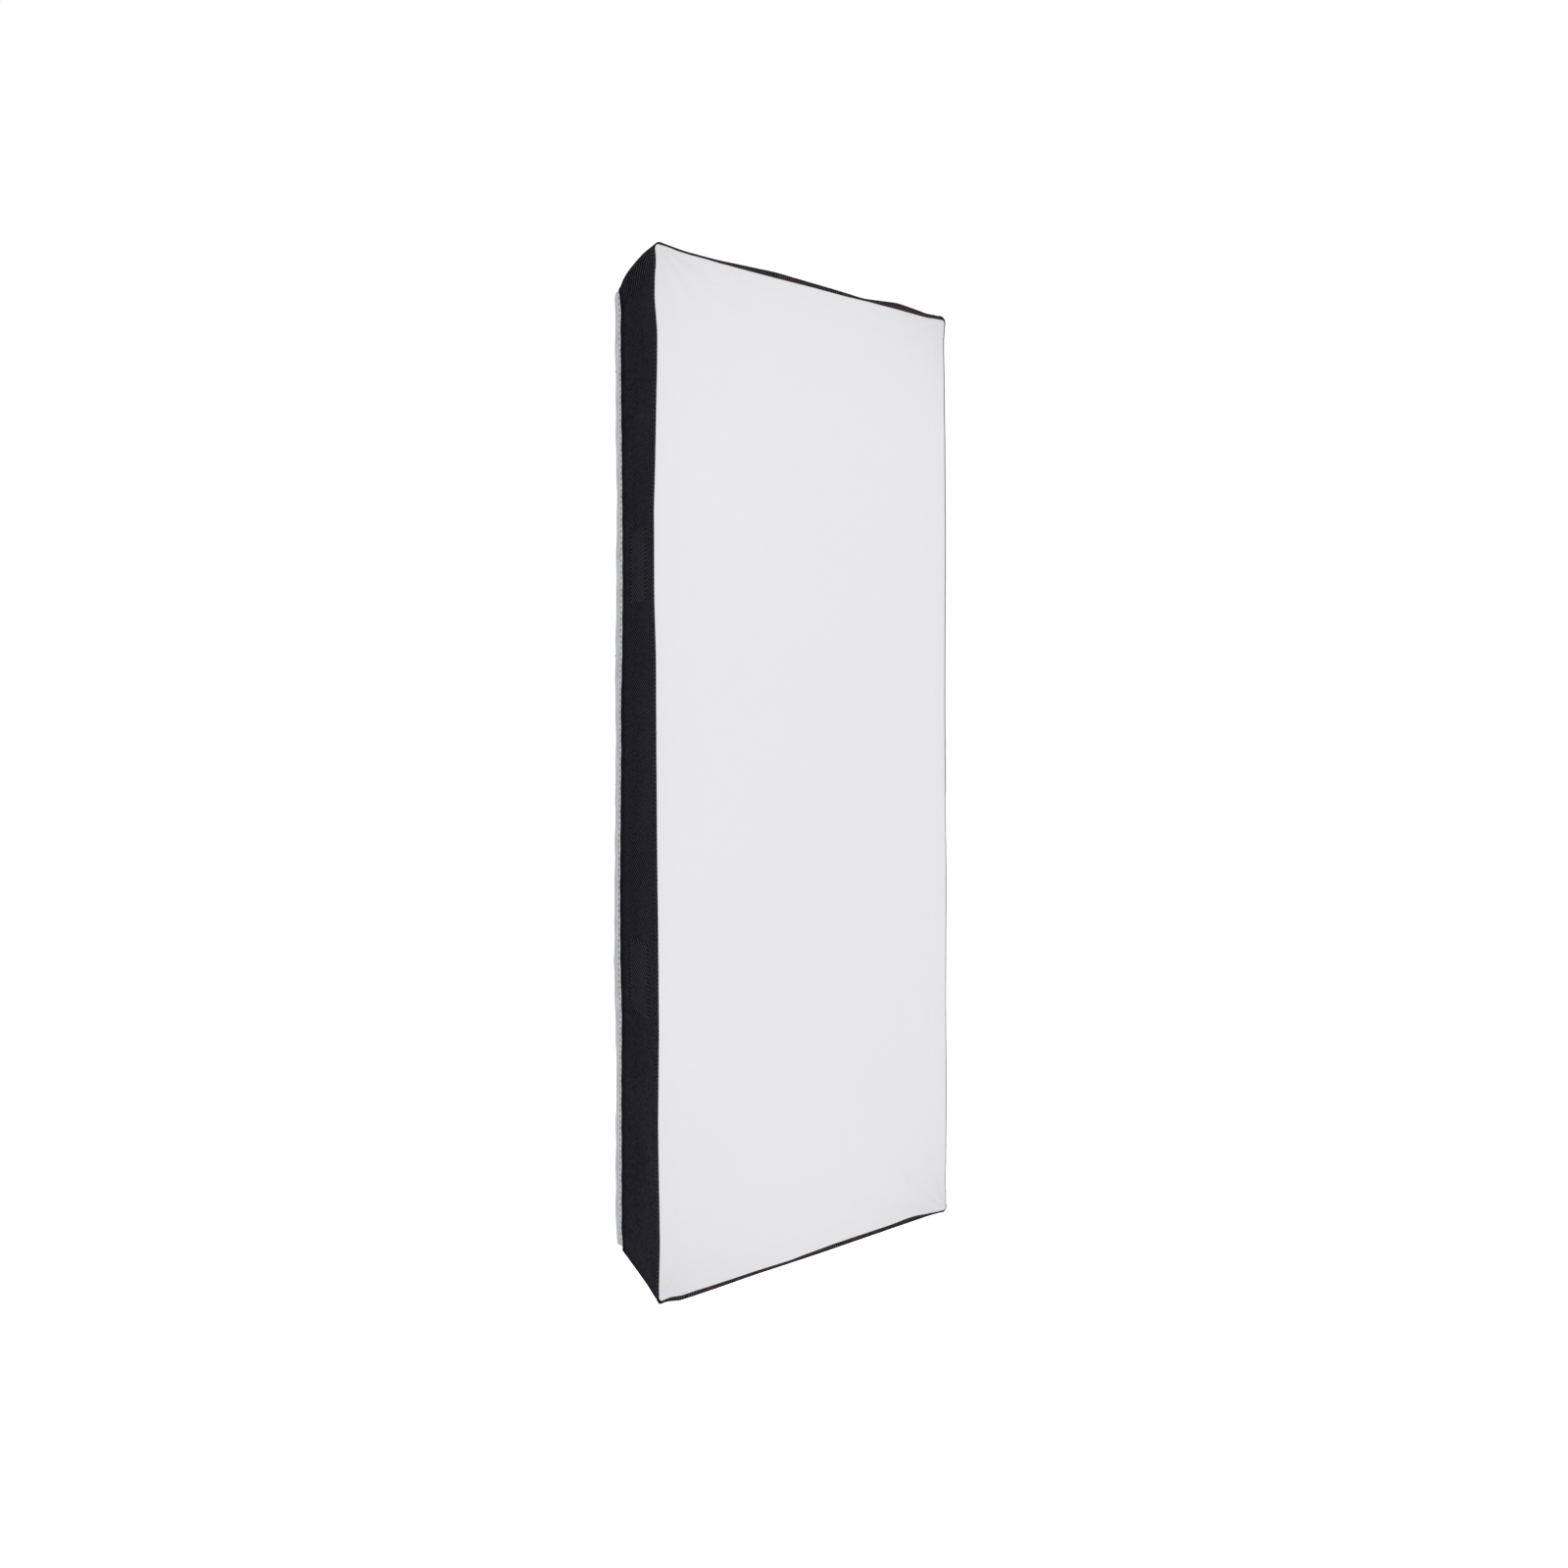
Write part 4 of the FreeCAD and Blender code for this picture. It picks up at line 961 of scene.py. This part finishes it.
def roundedPlate(centre, size, thickness):
    # closed pillow-edged plate that faces X: superellipse rings from the rim to the middle, front and back
    rings, sides = 7, 48
    py, pz = roundedSquare(sides, 0.2)
    t = np.linspace(0, np.pi, rings * 2)
    reach = np.clip(np.sin(t), 0, 1) ** 0.18
    reach[0] = reach[-1] = 0.0
    high = np.cos(t) * thickness / 2
    a = centre[None, None] + np.zeros((len(t), sides, 3))
    a[..., 0] += high[:, None]
    a[..., 1] += reach[:, None] * py[None] * size[0] / 2
    a[..., 2] += reach[:, None] * pz[None] * size[1] / 2
    return a.reshape(-1, 3), gridQuads(len(t), sides, wrapColumns=True)


def makeAnchors():
    patches, tabs, thread = [], [], []
    low, high = nodeBox("baffle_patches")
    for corner in cornerNames:
        tabLow, tabHigh = nodeBox("baffle_tab_" + corner)
        centre = (tabLow + tabHigh) / 2
        sign = math.copysign(1, centre[0])
        size = tabHigh - tabLow
        tabs.append(roundedPlate(centre, size[1:], size[0]))
        middle = np.array([sign * (high[0] - 0.5 * mm), centre[1], centre[2]])
        patches.append(roundedPlate(middle, (high[1] - low[1], wall["patchHeight"]), 1 * mm))
        y0, y1, z0, z1 = tabLow[1] + 2 * mm, tabHigh[1] - 2 * mm, tabLow[2] + 2 * mm, tabHigh[2] - 2 * mm
        across, up = resample([[y0, z0], [y1, z0], [y1, z1], [y0, z1], [y0, z0]], 120)
        inner = sign * min(abs(tabLow[0]), abs(tabHigh[0]))
        path = np.stack([np.full(120, inner), across, up], -1)
        thread.append(stitchParts(path, np.tile([-sign, 0.0, 0.0], (120, 1)), 3.2 * mm, 2.3 * mm, 0.22 * mm))
    patchPiece = joinParts("bafflePatches", patches)
    finishPiece(patchPiece, "softbox_head", "greyTape", ["baffle_patches"])
    tabNodes = ["baffle_tab_" + corner for corner in cornerNames]
    finishPiece(joinParts("baffleTabs", tabs), "softbox_head", "whiteTape", tabNodes)
    finishPiece(joinParts("tabStitching", thread), "softbox_head", "whiteThread")


makeLining()
makeAnchors()
makeBaffle()
print("inside done")


def softCopy(node, name, width, slotName, material, body, ripple=0.0):
    # a copy of an exact shape with rounded edges; a woven one is bent by ripple * sin(x / 4 mm) * sin(z / 5 mm)
    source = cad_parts[node]
    work = bmesh.new()
    work.from_mesh(source.data)
    bmesh.ops.remove_doubles(work, verts=work.verts, dist=0.004 * mm)
    bmesh.ops.dissolve_limit(work, angle_limit=math.radians(1.0), verts=work.verts, edges=work.edges)
    if ripple:
        bmesh.ops.triangulate(work, faces=work.faces)
        for longest in (12 * mm, 6 * mm, 3 * mm):
            edges = [edge for edge in work.edges if edge.calc_length() > longest]
            bmesh.ops.subdivide_edges(work, edges=edges, cuts=1)
            bmesh.ops.triangulate(work, faces=work.faces)
    mesh = bpy.data.meshes.new(name)
    work.to_mesh(mesh)
    work.free()
    if ripple:
        place = np.empty(len(mesh.vertices) * 3, np.float32)
        mesh.vertices.foreach_get("co", place)
        place = place.reshape(-1, 3)
        place[:, 1] += ripple * np.sin(place[:, 0] / (4 * mm)) * np.sin(place[:, 2] / (5 * mm))
        mesh.vertices.foreach_set("co", place.ravel())
    mesh.polygons.foreach_set("use_smooth", np.ones(len(mesh.polygons), bool))
    obj = bpy.data.objects.new(name, mesh)
    bpy.context.scene.collection.objects.link(obj)
    rounded = obj.modifiers.new("edge", "BEVEL")
    rounded.width, rounded.segments, rounded.limit_method = width, 2, "ANGLE"
    rounded.angle_limit = math.radians(28)
    rounded.harden_normals = True
    finishPiece(obj, body, material, [node])
    return obj


hardware = [
    ("stand_bracket", "standBracket", 0.8, "black_casting", "casting", "stand_mount"),
    ("hub_body", "hubBody", 0.7, "black_casting", "casting", "softbox_head"),
    ("hub_cover", "hubCover", 0.5, "black_plastic", "plastic", "softbox_head"),
    ("tilt_tongue", "tiltTongue", 0.6, "black_casting", "casting", "softbox_head"),
    ("tilt_lever", "tiltLever", 0.9, "black_plastic", "plastic", "clamp_lever"),
    ("lock_knob", "lockKnob", 0.6, "black_plastic", "plastic", "lock_knob"),
    ("tilt_bolt", "tiltBolt", 0.4, "nickel_steel", "nickel", "stand_mount"),
]


def makeHardware():
    for node, name, width, slotName, material, body in hardware:
        softCopy(node, name, width * mm, slotName, material, body)
    plastic = (0.5 * mm, "black_plastic", "plastic", "softbox_head")
    woven = (0.3 * mm, "black_webbing", "webbing", "softbox_head", 0.22 * mm)
    for corner in cornerNames:
        softCopy("corner_elbow_" + corner, "cornerElbow_" + corner, *plastic)
        for node, name in (("front_pocket_", "frontPocket_"), ("rear_gusset_", "rearGusset_")):
            softCopy(node + corner, name + corner, *woven)


def paintNode(node, material):
    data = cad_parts[node]
    data.data.materials.clear()
    data.data.materials.append(materials[material])


def paintNodes():
    for corner in cornerNames:
        paintNode("frame_arm_" + corner, "tubeBlack")
        paintNode("corner_post_" + corner, "fibreRod")
    for node in ("hub_screws", "tongue_screws", "lever_screw", "lock_screw", "gusset_eyelets"):
        paintNode(node, "nickel")
    paintNode("tilt_washers", "frictionFibre")
    paintNode("lock_pad", "brass")


makeHardware()
paintNodes()
print("hardware done")

# panels: name, place, size in metres, power in watts
stageSet = {
    "floorDrop": 0.75, "floorSize": 14.0, "fillLevel": 0.58,
    "panels": (("frontPanel", (-0.5, -3.0, 1.0), 2.4, 30.0), ("rearPanel", (1.6, 2.6, 1.4), 1.6, 20.0)),
}
# lens and place in mm, place from the middle of the front face; turns about X, Y and Z in degrees
view = {
    "lens": 23.05, "shift": (-0.0529, -0.0408),
    "place": (-446.2, -818.6, 40.8), "turn": (90.30, 0.10, -31.65),
}


def makeStage():
    size, drop = stageSet["floorSize"], stageSet["floorDrop"]
    points = np.array([[-size, -size, 0], [size, -size, 0], [size, size, 0], [-size, size, 0]], float)
    points[:, 2] = cadBox[0][2] - drop
    floor = makeMesh("studioFloor", points, np.array([[0, 1, 2, 3]]))
    material, tree, shader = newMaterial("paleFloor")
    where = objectPlace(tree)
    feed(tree, shader, {
        "Base Color": mixColour(tree, noiseAt(tree, where, 2.0), colour(0.93), colour(0.95)),
        "Roughness": 0.9,
        "Emission Color": (1, 1, 1, 1),
    })
    seen = addNode(tree, "ShaderNodeLightPath").outputs["Is Camera Ray"]
    tree.links.new(mapRange(tree, seen, 0.0, 1.0, 0.25, 1.0), shader.inputs["Emission Strength"])
    floor.data.materials.append(material)


def makeLight():
    # the camera sees a white studio, and the object is lit by a softer one with a large panel in front
    world = bpy.data.worlds.new("studio")
    bpy.context.scene.world = world
    world.use_nodes = True
    tree = world.node_tree
    seen = addNode(tree, "ShaderNodeLightPath").outputs["Is Camera Ray"]
    level = mapRange(tree, seen, 0.0, 1.0, stageSet["fillLevel"], 1.0)
    tree.links.new(level, tree.nodes["Background"].inputs["Strength"])
    tree.nodes["Background"].inputs["Color"].default_value = (1, 1, 1, 1)
    for name, place, size, power in stageSet["panels"]:
        light = bpy.data.lights.new(name, "AREA")
        light.energy, light.size = power, size
        lamp = bpy.data.objects.new(name, light)
        bpy.context.scene.collection.objects.link(lamp)
        lamp.location = place
        aim = Vector((0, frontY, midHeight)) - Vector(place)
        lamp.rotation_euler = aim.to_track_quat("-Z", "Y").to_euler()


def makeCamera():
    data = bpy.data.cameras.new("camera")
    data.sensor_width = 36.0
    data.lens = view["lens"]
    data.shift_x, data.shift_y = view["shift"]
    data.clip_start = 0.01
    camera = bpy.data.objects.new("camera", data)
    bpy.context.scene.collection.objects.link(camera)
    x, y, z = (v * mm for v in view["place"])
    camera.location = (x, frontY + y, midHeight + z)
    camera.rotation_euler = [math.radians(angle) for angle in view["turn"]]
    bpy.context.scene.camera = camera


makeStage()
makeLight()
makeCamera()
bpy.context.scene.view_settings.view_transform = "Standard"
